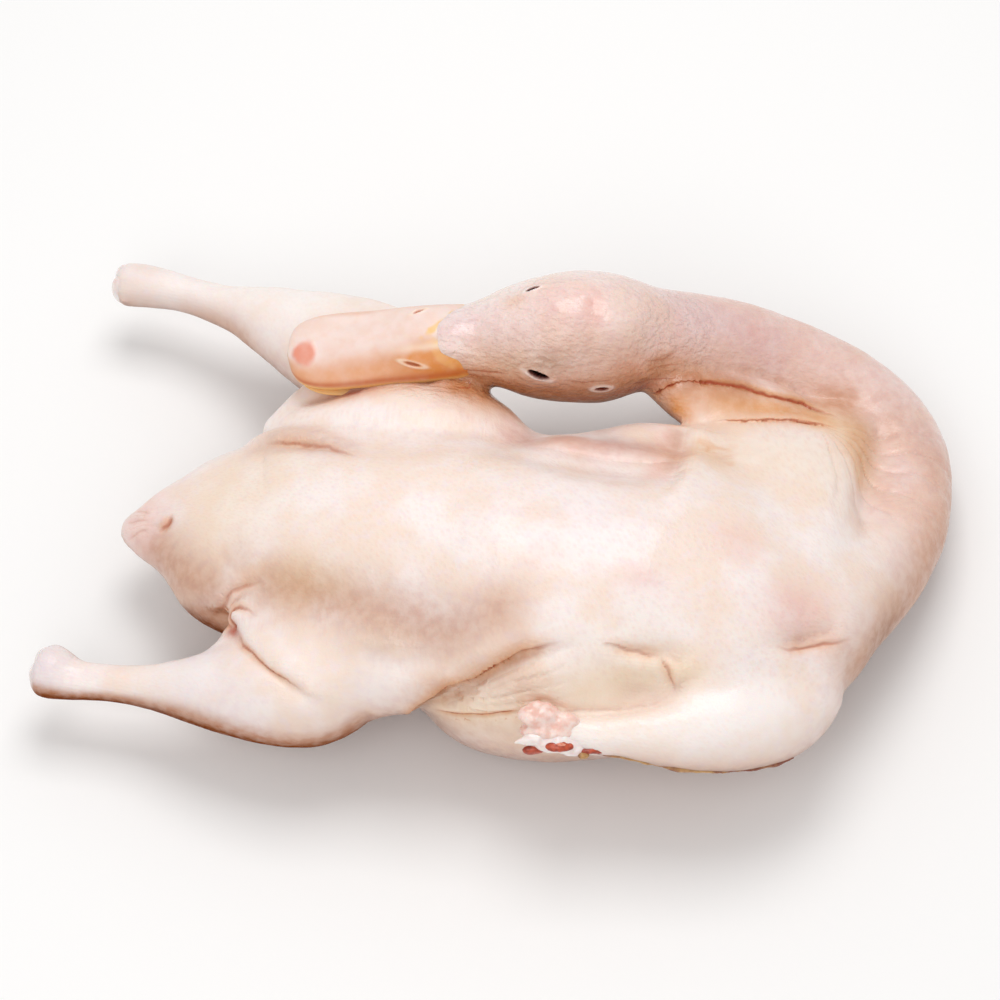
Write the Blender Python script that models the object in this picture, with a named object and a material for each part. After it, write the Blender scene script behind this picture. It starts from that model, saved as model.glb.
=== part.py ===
"""A whole raw duck, plucked and dressed, lying on its breast with its back up.

The tail points to -X and the neck leaves the front at +X, then bends round the duck's left
side (+Y) so that the head lies above the left leg with the bill towards the tail. The feet
are cut off at the hocks and the wings at the elbows.

Each part of the body is a closed tube: an oval section carried along a smooth path through a
few stations. The tubes are fused into one skin, smoothed where the flesh runs together, cut
by the folds between the parts, and flattened where the breast rests on the table.
Sizes below are in millimetres, and the model itself is in metres.
"""

import math

import bmesh
import bpy
import numpy as np

MM = 0.001

# Driving dimensions (mm). Each station is (x, y, z, half width, height above, depth below).
TRUNK = (
    (-138, 0, 33, 7, 4.5, 4.5),
    (-131, 0.5, 34, 13, 8, 6.5),
    (-120, 2.5, 35, 21.5, 12, 10),
    (-105, 4.5, 38, 33, 18, 17),
    (-84, 3, 41, 43, 27, 27),
    (-56, 2, 45, 46, 36, 33),
    (-28, 0, 45, 48, 44, 38),
    (-10, 0, 42, 52, 50, 42.5),
    (8, -1.5, 41, 63, 53, 45),
    (26, -1, 41, 66, 53, 45.5),
    (60, 1, 41, 61, 53, 45.5),
    (95, 1, 42, 55, 46, 45.5),
    (116, 3, 43, 43, 36, 39),
    (129, 6, 44, 28, 26, 27),
    (139, 14, 43, 14, 14, 15),
)
RIGHT_THIGH = (
    (-85, -42, 47, 5, 5, 5),
    (-75, -43, 48, 15, 13, 14),
    (-55, -44, 49, 24, 20, 22),
    (-28, -42, 52, 27, 22, 26),
    (2, -39, 55, 24, 19, 24),
    (24, -36, 58, 15, 14, 18),
    (36, -33, 62, 6, 6, 6),
)
RIGHT_DRUMSTICK = (
    (-4, -31, 49, 14, 14, 14),
    (-18, -37, 48, 21, 21, 21),
    (-40, -50, 44, 25, 25, 25),
    (-58, -55, 41, 24, 24, 24),
    (-80, -62, 38, 18.5, 18.5, 18.5),
    (-98, -64, 35, 12.4, 12.4, 12.4),
    (-113, -64, 32, 8.6, 8.6, 8.6),
    (-128, -64, 31, 7.2, 7.2, 7.2),
    (-141, -65, 30, 7.6, 7.6, 7.6),
    (-150, -64, 30, 10, 10, 10),
    (-156, -63, 30, 10, 10, 10),
)
LEFT_THIGH = (
    (-93, 50, 42, 6, 6, 6),
    (-80, 54, 44, 17, 16, 16),
    (-58, 56, 46, 25, 22, 24),
    (-32, 55, 48, 26, 24, 26),
    (-12, 48, 50, 20, 19, 23),
    (5, 40, 54, 11, 11, 13),
)
LEFT_DRUMSTICK = (
    (-30, 77, 45, 15, 15, 15),
    (-44, 82, 44, 23, 23, 23),
    (-64, 86, 43, 25, 25, 25),
    (-81, 92, 42, 23, 23, 23),
    (-98, 99, 40, 17.5, 17.5, 17.5),
    (-115, 106, 38, 11.6, 11.6, 11.6),
    (-127, 109, 36, 8.8, 8.8, 8.8),
    (-142, 113, 34, 7.8, 7.8, 7.8),
    (-157, 115, 33, 8.8, 8.8, 8.8),
    (-170, 115, 32, 9.2, 9.2, 9.2),
)
RIGHT_WING = (
    (123, -24, 46, 12, 12, 12),
    (116, -37, 47, 18.5, 18.5, 20),
    (103, -48, 51, 18, 18, 19),
    (87, -56, 53.5, 15, 15, 15.5),
    (72, -61, 56, 11.8, 11.8, 11.8),
    (59, -65, 57, 8, 8, 8),
    (48, -67, 57, 7.6, 7.6, 7.6),
    (42, -67, 57, 8, 8, 8),
)
ELBOW_UPPER = (
    (40, -64, 60, 6, 6, 6),
    (33, -65, 61, 6.5, 6, 6),
    (30, -65, 61, 5.5, 5, 5),
)
ELBOW_LOWER = (
    (46, -70, 56, 6, 6, 6),
    (38, -72, 55, 6.5, 6, 6),
    (34, -72, 55, 5.5, 5, 5),
)
LEFT_WING = (
    (112, 34, 58, 20, 20, 20),
    (92, 46, 56, 18, 17, 17),
    (70, 57, 55, 15, 14, 14),
    (48, 60, 52, 12, 11, 11),
    (30, 59, 50, 9, 8, 8),
    (16, 57, 49, 8, 8, 8),
    (7, 57, 48, 9.5, 9.5, 9.5),
    (2, 57, 48, 9.5, 9.5, 9.5),
)
NECK = (
    (108, -1, 50, 28, 28, 28),
    (127, 10, 44, 24.5, 25, 25),
    (141.5, 31.5, 35.5, 21, 21, 21),
    (149.5, 58.5, 27.5, 20.5, 20, 20),
    (150, 82, 21.5, 20.5, 20, 20),
    (145, 100.5, 20, 20.5, 20, 20),
    (135, 112, 22.5, 20.3, 20, 20),
    (121.5, 121, 28.5, 19.3, 19, 19),
    (103, 124.5, 36.5, 18.3, 18, 18),
    (83, 123.5, 45, 17.7, 17.5, 17.5),
    (63, 116.5, 53.5, 17.6, 17.5, 17.5),
    (45, 108, 62, 19, 19, 21),
    (34, 104, 65, 20, 20, 22),
)
NECK_SKIN = (
    (98, 10, 62, 31, 13, 24),
    (101, 40, 52, 35, 13, 26),
    (103, 67, 41, 36, 13, 24),
    (103, 88, 34.5, 35, 11, 19),
    (100, 108, 28, 31, 9, 14),
)
NECK_FOLD = (
    (48, 100, 54, 4, 4, 4),
    (58, 95.5, 52.5, 7.5, 7, 7),
    (72, 93, 49.5, 9, 8.5, 8.5),
    (90, 93, 45, 9, 8.5, 8.5),
    (104, 92.5, 41, 8, 8, 8),
    (116, 89.5, 39, 6, 6, 6),
)
HEAD = (
    (44, 108, 64, 18, 20, 22),
    (31, 103, 67, 22, 23.5, 27),
    (18, 99, 69, 23, 26, 28),
    (4, 95, 71, 21.5, 24, 27),
    (-8, 91, 72, 19, 18.5, 23),
    (-18, 88, 72, 16, 14, 18),
    (-28, 84, 72, 15, 12, 15),
    (-38, 80, 72, 15, 11, 13),
)
BILL = (
    (-22, 86, 72, 13, 10, 12),
    (-33, 82, 72, 14.6, 11.5, 12),
    (-48, 77, 71, 14.8, 9.5, 10),
    (-62, 73, 69.5, 15.2, 7.5, 8.5),
    (-74, 71, 67, 15, 6, 7),
    (-84, 70, 65, 12, 4.5, 5.5),
    (-89, 70, 64, 8, 3.5, 4),
)
ROUND_SECTION = 2.0  # exponent of an oval section
SLAB_SECTION = 2.8  # a flatter section, for the loose skin of the neck
SECTION_SIDES = 40
STEPS_PER_STATION = 6
CAP_RINGS = 5

# Folds: a path over the skin, then its (groove depth, groove width, lip height, lip width).
# The raised lip is on the path's left, when the path is followed with the skin facing up.
THIGH_FRONT = ((-12, -70, 44), (-6, -66, 56), (10, -56, 67), (23, -49, 75), (37, -44, 78), (51, -40, 80))
KNEE = ((-88, -38, 49), (-82, -48, 54), (-73, -58, 59), (-64, -64, 60), (-54, -68, 59))
TAIL_RIGHT = ((-78, -34, 60), (-85, -36, 54), (-88, -40, 46), (-86, -46, 40))
TAIL_LEFT = ((-92, 34, 55), (-85, 30, 60), (-74, 31, 64), (-60, 27, 73))
WING_TOP = ((92, -44, 73), (84, -46, 71), (77, -53, 67), (68, -57, 65), (55, -61, 63), (44, -63, 63))
ARMPIT = ((84, -43, 74), (74, -41, 77), (62, -41, 79), (51, -40, 80))
SHOULDER = ((134, -10, 63), (124, -19, 68), (114, -26, 72), (104, -30, 76))
FOLDS = (
    (THIGH_FRONT, (4.5, 4.5, 2.4, 9)),
    (KNEE, (2.2, 3.6, 1.2, 6)),
    (TAIL_RIGHT, (5, 4.5, 1.5, 6)),
    (TAIL_LEFT, (3, 4, 1.5, 6)),
    (WING_TOP, (3, 3.6, 1, 6)),
    (ARMPIT, (2.4, 3.6, 1.2, 6)),
    (SHOULDER, (2.2, 4, 1, 6)),
)
# Hollows: (centre, radii along x, y and z, depth).
HOLLOWS = {
    "right armpit": ((66, -51, 70), (15, 8, 14), 2),
    "behind the knee": ((-17, -60, 38), (13, 12, 15), 6),
    "beside the spine": ((50, 36, 82), (34, 15, 20), 8),
    "right of the rump": ((-42, -42, 70), (40, 9, 14), 2.5),
    "left of the rump": ((-50, 30, 74), (26, 9, 14), 2.5),
    "between neck and shoulder": ((126, -22, 66), (14, 9, 12), 2),
}
FRAME_CENTRE = (-1.8, 31.9)  # x and y of the whole duck's middle, which goes to the origin

# How the tubes become one skin.
VOXEL = 2.6
SOFTENING_ROUNDS = 22
SOFTENING_SHARE = 0.6  # how far a point moves towards its neighbours in a round, where flesh is loose
FIRM_SHARE = 0.06  # and where bone is close under the skin
EVENING_SHARE = 0.25
EVENING_ROUNDS = 2
FINAL_TRIANGLES = 11000

SKIN_COLOUR = (0.87, 0.70, 0.60, 1.0)
SKIN_ROUGHNESS = 0.42


def clear_scene():
    """Removes every object that the scene starts with."""
    for item in list(bpy.data.objects):
        bpy.data.objects.remove(item, do_unlink=True)


def smooth_rows(rows, steps):
    """Rows read from a Catmull-Rom curve through the given rows, with steps of them in each span."""
    points = np.array(rows, float)
    padded = np.vstack([2 * points[0] - points[1], points, 2 * points[-1] - points[-2]])
    t = (np.arange(steps) / steps)[:, None]
    spans = []
    for i in range(len(points) - 1):
        a, b, c, d = padded[i : i + 4]
        bend = 2 * a - 5 * b + 4 * c - d
        twist = 3 * b - a - 3 * c + d
        spans.append(0.5 * (2 * b + (c - a) * t + bend * t**2 + twist * t**3))
    return np.vstack(spans + [points[-1:]])


def unit(vectors):
    """Each row at length one."""
    return vectors / np.linalg.norm(vectors, axis=-1, keepdims=True)


def end_cap(row, tangent, bluntness):
    """Rows that round off a tube past its last row, as a quarter of an ellipse."""
    angles = np.linspace(0, math.pi / 2, CAP_RINGS + 1)[1:-1, None]
    reach = row[3:].mean() * bluntness
    centres = row[:3] + tangent * reach * np.sin(angles)
    return np.hstack([centres, row[3:] * np.cos(angles)]), row[:3] + tangent * reach


def tube(stations, exponent=ROUND_SECTION, bluntness=0.8):
    """Vertices and faces of an oval section carried along the smooth path through the stations."""
    rows = smooth_rows(stations, STEPS_PER_STATION)
    ahead = unit(np.gradient(rows[:, :3], axis=0))
    first, first_pole = end_cap(rows[0], -ahead[0], bluntness)
    last, last_pole = end_cap(rows[-1], ahead[-1], bluntness)
    rows = np.vstack([first[::-1], rows, last])
    ahead = np.vstack([np.repeat(ahead[:1], len(first), 0), ahead, np.repeat(ahead[-1:], len(last), 0)])
    side = unit(np.cross([0, 0, 1], ahead))
    above = np.cross(ahead, side)
    angle = np.linspace(0, 2 * math.pi, SECTION_SIDES, endpoint=False)
    across = np.sign(np.cos(angle)) * np.abs(np.cos(angle)) ** (2 / exponent)
    upward = np.sign(np.sin(angle)) * np.abs(np.sin(angle)) ** (2 / exponent)
    height = np.where(upward > 0, rows[:, 4:5] * upward, rows[:, 5:6] * upward)
    rings = (
        rows[:, None, :3]
        + side[:, None] * (rows[:, 3:4] * across)[..., None]
        + above[:, None] * height[..., None]
    )
    count, sides = rings.shape[:2]
    vertices = np.vstack([rings.reshape(-1, 3), first_pole, last_pole])
    i, j = np.meshgrid(np.arange(count - 1), np.arange(sides), indexing="ij")
    after = (j + 1) % sides
    quads = np.stack([i * sides + j, i * sides + after, (i + 1) * sides + after, (i + 1) * sides + j], -1)
    j = np.arange(sides)
    after = (j + 1) % sides
    pole = count * sides
    start = np.stack([np.full(sides, pole), after, j], -1)
    base = (count - 1) * sides
    end = np.stack([np.full(sides, pole + 1), base + j, base + after], -1)
    return vertices, quads.reshape(-1, 4).tolist() + start.tolist() + end.tolist()


def joined_mesh(name, tubes):
    """One mesh that holds every tube, each still closed in itself."""
    vertices, faces, offset = [], [], 0
    for points, polygons in tubes:
        vertices.append(points * MM)
        faces += [[offset + corner for corner in polygon] for polygon in polygons]
        offset += len(points)
    mesh = bpy.data.meshes.new(name)
    mesh.from_pydata(np.vstack(vertices).tolist(), [], faces)
    mesh.update()
    work = bmesh.new()
    work.from_mesh(mesh)
    bmesh.ops.recalc_face_normals(work, faces=work.faces)
    work.to_mesh(mesh)
    work.free()
    return mesh


def evaluated(thing):
    """The object's mesh with its modifiers applied, which then replaces its own."""
    graph = bpy.context.evaluated_depsgraph_get()
    mesh = bpy.data.meshes.new_from_object(thing.evaluated_get(graph))
    old = thing.data
    thing.modifiers.clear()
    thing.data = mesh
    bpy.data.meshes.remove(old)
    return mesh


def fuse(thing, voxel):
    """Makes the overlapping tubes one skin of small even faces."""
    remesh = thing.modifiers.new("fuse", "REMESH")
    remesh.mode = "VOXEL"
    remesh.voxel_size = voxel * MM
    remesh.adaptivity = 0.0
    return evaluated(thing)


def coordinates(mesh):
    """The mesh's vertices in millimetres, one row each."""
    points = np.empty(len(mesh.vertices) * 3, np.float32)
    mesh.vertices.foreach_get("co", points)
    return points.reshape(-1, 3).astype(float) / MM


def put_back(mesh, points):
    """Writes rows of millimetres back into the mesh."""
    mesh.vertices.foreach_set("co", (points * MM).astype(np.float32).ravel())
    mesh.update()


def edge_pairs(mesh):
    """The two vertex numbers of each edge."""
    pairs = np.empty(len(mesh.edges) * 2, np.int32)
    mesh.edges.foreach_get("vertices", pairs)
    return pairs.reshape(-1, 2)


def relaxed(points, pairs, weight, rounds):
    """Moves each point towards the middle of its neighbours, by its weight, in each round."""
    count = np.bincount(pairs.ravel(), minlength=len(points))[:, None]
    ends = np.concatenate([pairs[:, 0], pairs[:, 1]])
    others = np.concatenate([pairs[:, 1], pairs[:, 0]])
    for _ in range(rounds):
        total = np.stack([np.bincount(ends, points[others, k], len(points)) for k in range(3)], 1)
        points = points + weight[:, None] * (total / count - points)
    return points


def ramp(values, low, high):
    """0 at low, 1 at high, with a smooth rise between."""
    t = np.clip((values - low) / (high - low), 0, 1)
    return t * t * (3 - 2 * t)


def distance_to_path(points, path):
    """Each point's distance to the polyline through the path's points."""
    path = np.array(path, float)
    best = np.full(len(points), np.inf)
    for a, b in zip(path[:-1], path[1:]):
        along = np.clip(((points - a) @ (b - a)) / ((b - a) @ (b - a)), 0, 1)
        best = np.minimum(best, np.linalg.norm(points - a - along[:, None] * (b - a), axis=1))
    return best


def flesh_weight(points):
    """How far the flesh runs together: fully on the trunk, hardly on shanks, wings, neck and head."""
    legs = ramp(points[:, 0], -112, -70)
    beside = 1 - ramp(points[:, 1], 78, 100)
    high = np.where(points[:, 0] < 60, 1 - ramp(points[:, 1], 62, 80), 1)
    wing = ramp(distance_to_path(points, [station[:3] for station in RIGHT_WING[2:]]), 11, 24)
    weight = np.minimum.reduce([legs, beside, high, 0.25 + 0.75 * wing])
    for path, _ in FOLDS:
        weight = np.minimum(weight, 0.3 + 0.7 * ramp(distance_to_path(points, path), 3, 14))
    return FIRM_SHARE + SOFTENING_SHARE * weight


def side_of_path(points, normals, path):
    """Distance to the path, signed: positive on its left, seen with the skin facing up."""
    path = np.array(path, float)
    best = np.full(len(points), np.inf)
    signed = np.full(len(points), np.inf)
    for a, b in zip(path[:-1], path[1:]):
        along = np.clip(((points - a) @ (b - a)) / ((b - a) @ (b - a)), 0, 1)
        away = points - a - along[:, None] * (b - a)
        reach = np.linalg.norm(away, axis=1)
        left = np.einsum("ij,ij->i", np.cross(normals, b - a), away)
        nearer = reach < best
        best = np.where(nearer, reach, best)
        signed = np.where(nearer, np.sign(left) * reach, signed)
    return signed


def fold_heights(points, normals):
    """How far each point moves out along its normal for the folds and hollows."""
    height = np.zeros(len(points))
    for path, (depth, width, lip, lip_width) in FOLDS:
        side = side_of_path(points, normals, path)
        groove = np.where(side > 0, side / (0.6 * width), side / (1.6 * width))
        height -= depth * np.exp(-(groove**2))
        height += lip * np.where(side > 0, np.exp(-(((side - lip_width) / lip_width) ** 2)), 0)
    for centre, radii, depth in HOLLOWS.values():
        height -= depth * np.exp(-(((points - centre) / radii) ** 2).sum(1))
    return height


def vertex_normals(mesh):
    """The mesh's normals, one row for each vertex."""
    normals = np.empty(len(mesh.vertices) * 3, np.float32)
    mesh.vertex_normals.foreach_get("vector", normals)
    return normals.reshape(-1, 3).astype(float)


def pressed_flat(points):
    """The points with what would lie under the table pressed up to it."""
    return np.column_stack([points[:, :2], np.maximum(points[:, 2], 0)])


def build_duck():
    """The duck's one solid skin, before its faces are reduced."""
    tubes = [
        tube(TRUNK),
        tube(RIGHT_THIGH),
        tube(RIGHT_DRUMSTICK, bluntness=0.4),
        tube(LEFT_THIGH),
        tube(LEFT_DRUMSTICK, bluntness=0.4),
        tube(RIGHT_WING, bluntness=0.5),
        tube(ELBOW_UPPER),
        tube(ELBOW_LOWER),
        tube(LEFT_WING, bluntness=0.5),
        tube(NECK),
        tube(NECK_SKIN, SLAB_SECTION, bluntness=0.2),
        tube(NECK_FOLD),
        tube(HEAD),
        tube(BILL, 2.4),
    ]
    duck = bpy.data.objects.new("duck", joined_mesh("duck", tubes))
    bpy.context.scene.collection.objects.link(duck)
    mesh = fuse(duck, VOXEL)
    points = coordinates(mesh)
    pairs = edge_pairs(mesh)
    points = relaxed(points, pairs, flesh_weight(points), SOFTENING_ROUNDS)
    put_back(mesh, points)
    normals = vertex_normals(mesh)
    points += normals * fold_heights(points, normals)[:, None]
    points = relaxed(points, pairs, np.full(len(points), EVENING_SHARE), EVENING_ROUNDS)
    points[:, :2] -= FRAME_CENTRE
    put_back(mesh, pressed_flat(points))
    return duck


def skin_material():
    """Raw skin: pale, a little wet."""
    material = bpy.data.materials.new("raw_skin")
    material.use_nodes = True
    shader = material.node_tree.nodes["Principled BSDF"]
    shader.inputs["Base Color"].default_value = SKIN_COLOUR
    shader.inputs["Roughness"].default_value = SKIN_ROUGHNESS
    shader.inputs["Metallic"].default_value = 0.0
    material.diffuse_color = SKIN_COLOUR
    return material


def main():
    clear_scene()
    duck = build_duck()
    reduce = duck.modifiers.new("reduce", "DECIMATE")
    reduce.ratio = FINAL_TRIANGLES / (2 * len(duck.data.polygons))
    mesh = evaluated(duck)
    put_back(mesh, pressed_flat(coordinates(mesh)))
    mesh.materials.clear()
    mesh.materials.append(skin_material())
    mesh.shade_smooth()


main()
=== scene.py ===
"""A whole raw duck, plucked and dressed, lying on its breast on a pale floor.

Places and sizes are in millimetres in the duck's own axes: x from tail to neck with 0 at the
hips, y to the duck's left with 0 on its spine, z up from the floor. FRAME_CENTRE carries them
to the frame's axes, and meshes are in metres.

The skin is one surface: oval tubes for trunk, legs, wings, neck and head are fused, relaxed
where the flesh runs together, and pushed in and out along its normals by folds, creases,
hollows, lids and lumps. The bill, eyes, joint ends and the cut ends of the wings are surfaces
of their own.
"""

import logging
import math
from dataclasses import dataclass
from enum import Enum

import bmesh
import bpy
import numpy as np
from mathutils import Matrix, Vector


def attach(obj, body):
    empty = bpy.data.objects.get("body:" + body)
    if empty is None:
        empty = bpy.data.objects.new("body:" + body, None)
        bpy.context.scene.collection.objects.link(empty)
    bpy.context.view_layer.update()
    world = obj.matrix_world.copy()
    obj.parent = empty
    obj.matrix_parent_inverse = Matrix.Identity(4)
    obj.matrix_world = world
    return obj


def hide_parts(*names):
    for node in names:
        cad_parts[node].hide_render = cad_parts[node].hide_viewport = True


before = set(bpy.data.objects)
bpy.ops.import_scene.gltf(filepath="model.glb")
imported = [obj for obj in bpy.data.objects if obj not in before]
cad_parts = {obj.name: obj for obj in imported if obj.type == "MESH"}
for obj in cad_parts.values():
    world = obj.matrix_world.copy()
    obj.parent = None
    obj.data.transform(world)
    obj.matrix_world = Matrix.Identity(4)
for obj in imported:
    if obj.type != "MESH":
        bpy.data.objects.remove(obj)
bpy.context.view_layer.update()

LOG = logging.getLogger("duck")
Array = np.ndarray
Point = tuple[float, float, float]
Path = tuple[Point, ...]
Surface = tuple[Array, list[list[int]]]  # vertices, and faces as lists of vertex numbers
Range = tuple[float, float, float, float]  # from low and high to what they become
Piece = bpy.types.Object
Mesh = bpy.types.Mesh
Socket = bpy.types.NodeSocket

MM = 0.001
BODY = "root"
NODE = "duck"
FRAME_CENTRE = np.array((-1.8, 31.9, 0.0))  # the duck's own axes, seen from the frame's origin


# ---- numbers and shapes


def linear(colour: str) -> tuple[float, float, float, float]:
    """An sRGB hex colour as linear red, green, blue and alpha.

    Args:
        colour: six hex digits after a hash sign.

    Returns:
        The linear colour that shader sockets take.
    """
    parts = np.array([int(colour[i : i + 2], 16) / 255 for i in (1, 3, 5)])
    light = np.where(parts <= 0.04045, parts / 12.92, ((parts + 0.055) / 1.055) ** 2.4)
    return (*light.tolist(), 1.0)


def ramp(values: Array, low: float, high: float) -> Array:
    """0 at low and 1 at high, with the smooth rise 3t^2 - 2t^3 between."""
    t = np.clip((values - low) / (high - low), 0, 1)
    return t * t * (3 - 2 * t)


def unit(vectors: Array) -> Array:
    """Each row at length one."""
    return vectors / np.linalg.norm(vectors, axis=-1, keepdims=True)


def bell(values: Array) -> Array:
    """exp(-values^2): 1 in the middle and next to nothing past 2."""
    return np.exp(-(values**2))


def oval(sides: int, exponent: float) -> tuple[Array, Array]:
    """cos(a) and sin(a) at angles a round a section, to the power 2 / exponent with their signs kept.

    Args:
        sides: how many angles there are.
        exponent: 2 for an ellipse, and more for a squarer section.

    Returns:
        The shares across and upwards.
    """
    angle = np.linspace(0, 2 * math.pi, sides, endpoint=False)
    waves = np.cos(angle), np.sin(angle)
    across, upward = (np.sign(wave) * np.abs(wave) ** (2 / exponent) for wave in waves)
    return across, upward


def smooth_rows(rows: Array, steps: int) -> Array:
    """Rows read from a Catmull-Rom curve through the given rows.

    Args:
        rows: the rows that the curve passes through.
        steps: how many rows each span gives.

    Returns:
        The finer rows, both ends included.
    """
    points = np.array(rows, float)
    padded = np.vstack([2 * points[0] - points[1], points, 2 * points[-1] - points[-2]])
    t = (np.arange(steps) / steps)[:, None]
    spans = []
    for i in range(len(points) - 1):
        a, b, c, d = padded[i : i + 4]
        bend = 2 * a - 5 * b + 4 * c - d
        twist = 3 * b - a - 3 * c + d
        spans.append(0.5 * (2 * b + (c - a) * t + bend * t**2 + twist * t**3))
    return np.vstack(spans + [points[-1:]])


def lattice_noise(points: Array, cell: float, seed: int) -> Array:
    """Smooth noise from -1 to 1: hashed values on a cubic lattice, blended between corners.

    Args:
        points: rows of x, y, z in millimetres.
        cell: the lattice spacing in millimetres, which is the size of a lump.
        seed: picks one of many patterns.

    Returns:
        One value for each row.
    """
    grid = points / cell
    corner = np.floor(grid).astype(np.int64)
    share = grid - corner
    share = share * share * (3 - 2 * share)
    total = np.zeros(len(points))
    for offset in np.ndindex(2, 2, 2):
        x, y, z = (corner + offset).T
        key = (x * 73856093 ^ y * 19349663 ^ z * 83492791 ^ seed * 2654435761) & 0xFFFFFFFF
        key = ((key ^ (key >> 13)) * 1274126177) & 0xFFFFFFFF
        value = ((key >> 8) & 0xFFFF) / 32767.5 - 1
        weight = np.where(np.array(offset) == 1, share, 1 - share).prod(axis=1)
        total += value * weight
    return total


def skin_noise(points: Array, cell: float, seed: int) -> Array:
    """Two octaves of lattice noise, the second half as large and half as strong."""
    return (lattice_noise(points, cell, seed) + 0.5 * lattice_noise(points, cell / 2, seed + 7)) / 1.5


@dataclass(frozen=True)
class Tube:
    """An oval section carried along the smooth path through its stations.

    A station is (x, y, z, half width, height above, depth below), or (x, y, z, radius) where
    the section is round. At angle a round the path the surface lies at half width * cos(a) to
    the side and height * sin(a) upwards, with both taken to the power 2 / exponent. Quarter
    ellipses round off the two ends.
    """

    stations: tuple[tuple[float, ...], ...]
    exponent: float = 2.0
    bluntness: float = 0.8
    sides: int = 48
    steps: int = 8
    cap_rings: int = 6

    def middle(self, first: int = 0) -> Path:
        """The places of the stations, from the first that is wanted."""
        return tuple(station[:3] for station in self.stations[first:])

    def cap(self, row: Array, tangent: Array) -> tuple[Array, Array]:
        """Rounds off one end with a quarter ellipse.

        Args:
            row: the station at that end.
            tangent: the path's direction out of it.

        Returns:
            The cap's rows, and its pole.
        """
        angles = np.linspace(0, math.pi / 2, self.cap_rings + 1)[1:-1, None]
        reach = row[3:].mean() * self.bluntness
        centres = row[:3] + tangent * reach * np.sin(angles)
        return np.hstack([centres, row[3:] * np.cos(angles)]), row[:3] + tangent * reach

    def surface(self) -> Surface:
        """Lays the sections along the path and closes both ends.

        Returns:
            The surface, in millimetres.
        """
        ovals = [(*station, *station[3:4] * (6 - len(station))) for station in self.stations]
        rows = smooth_rows(np.array(ovals, float), self.steps)
        ahead = unit(np.gradient(rows[:, :3], axis=0))
        first, first_pole = self.cap(rows[0], -ahead[0])
        last, last_pole = self.cap(rows[-1], ahead[-1])
        rows = np.vstack([first[::-1], rows, last])
        ends = np.repeat(ahead[:1], len(first), 0), np.repeat(ahead[-1:], len(last), 0)
        ahead = np.vstack([ends[0], ahead, ends[1]])
        side = unit(np.cross([0, 0, 1], ahead))
        above = np.cross(ahead, side)
        across, upward = oval(self.sides, self.exponent)
        height = np.where(upward > 0, rows[:, 4:5] * upward, rows[:, 5:6] * upward)
        rings = (
            rows[:, None, :3]
            + side[:, None] * (rows[:, 3:4] * across)[..., None]
            + above[:, None] * height[..., None]
        )
        return closed_rings(rings, first_pole, last_pole)


def closed_rings(rings: Array, first_pole: Array, last_pole: Array) -> Surface:
    """A closed surface from rings of points and a pole at each end.

    Args:
        rings: an array of rings by points by 3.
        first_pole: the point that closes the first ring.
        last_pole: the point that closes the last ring.

    Returns:
        The surface.
    """
    count, sides = rings.shape[:2]
    vertices = np.vstack([rings.reshape(-1, 3), first_pole, last_pole])
    i, j = np.meshgrid(np.arange(count - 1), np.arange(sides), indexing="ij")
    after = (j + 1) % sides
    here, ahead = i * sides, (i + 1) * sides
    quads = np.stack([here + j, here + after, ahead + after, ahead + j], -1)
    j = np.arange(sides)
    after = (j + 1) % sides
    pole = count * sides
    start = np.stack([np.full(sides, pole), after, j], -1)
    base = (count - 1) * sides
    end = np.stack([np.full(sides, pole + 1), base + j, base + after], -1)
    return vertices, quads.reshape(-1, 4).tolist() + start.tolist() + end.tolist()


# ---- meshes


def new_piece(name: str, surfaces: list[Surface]) -> Piece:
    """One object in the frame from surfaces in the duck's own millimetres.

    Args:
        name: the piece's name.
        surfaces: vertices and faces of each closed surface.

    Returns:
        The linked object, smooth-shaded, with its faces outward.
    """
    vertices, faces, offset = [], [], 0
    for points, polygons in surfaces:
        vertices.append((points - FRAME_CENTRE) * MM)
        faces += [[offset + corner for corner in polygon] for polygon in polygons]
        offset += len(points)
    mesh = bpy.data.meshes.new(name)
    mesh.from_pydata(np.vstack(vertices).tolist(), [], faces)
    mesh.update()
    work = bmesh.new()
    work.from_mesh(mesh)
    bmesh.ops.recalc_face_normals(work, faces=work.faces)
    work.to_mesh(mesh)
    work.free()
    mesh.shade_smooth()
    piece = bpy.data.objects.new(name, mesh)
    bpy.context.scene.collection.objects.link(piece)
    return piece


def read_rows(items: bpy.types.bpy_prop_collection, name: str, width: int, kind: type) -> Array:
    """Reads one row of numbers for each vertex, normal or edge, all in one go.

    Args:
        items: the mesh's vertices, normals or edges.
        name: the property to read.
        width: how many numbers it has.
        kind: the type of number that Blender keeps there.

    Returns:
        The rows.
    """
    values = np.empty(len(items) * width, kind)
    items.foreach_get(name, values)
    return values.reshape(-1, width)


def coordinates(mesh: Mesh) -> Array:
    """The mesh's vertices in the duck's own millimetres."""
    return read_rows(mesh.vertices, "co", 3, np.float32).astype(float) / MM + FRAME_CENTRE


def vertex_normals(mesh: Mesh) -> Array:
    """The mesh's normals, one row for each vertex."""
    return read_rows(mesh.vertex_normals, "vector", 3, np.float32).astype(float)


def edge_pairs(mesh: Mesh) -> Array:
    """The two vertex numbers of each edge."""
    return read_rows(mesh.edges, "vertices", 2, np.int32)


def put_back(mesh: Mesh, points: Array) -> None:
    """Writes rows of the duck's own millimetres back into the mesh."""
    mesh.vertices.foreach_set("co", ((points - FRAME_CENTRE) * MM).astype(np.float32).ravel())
    mesh.update()


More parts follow.
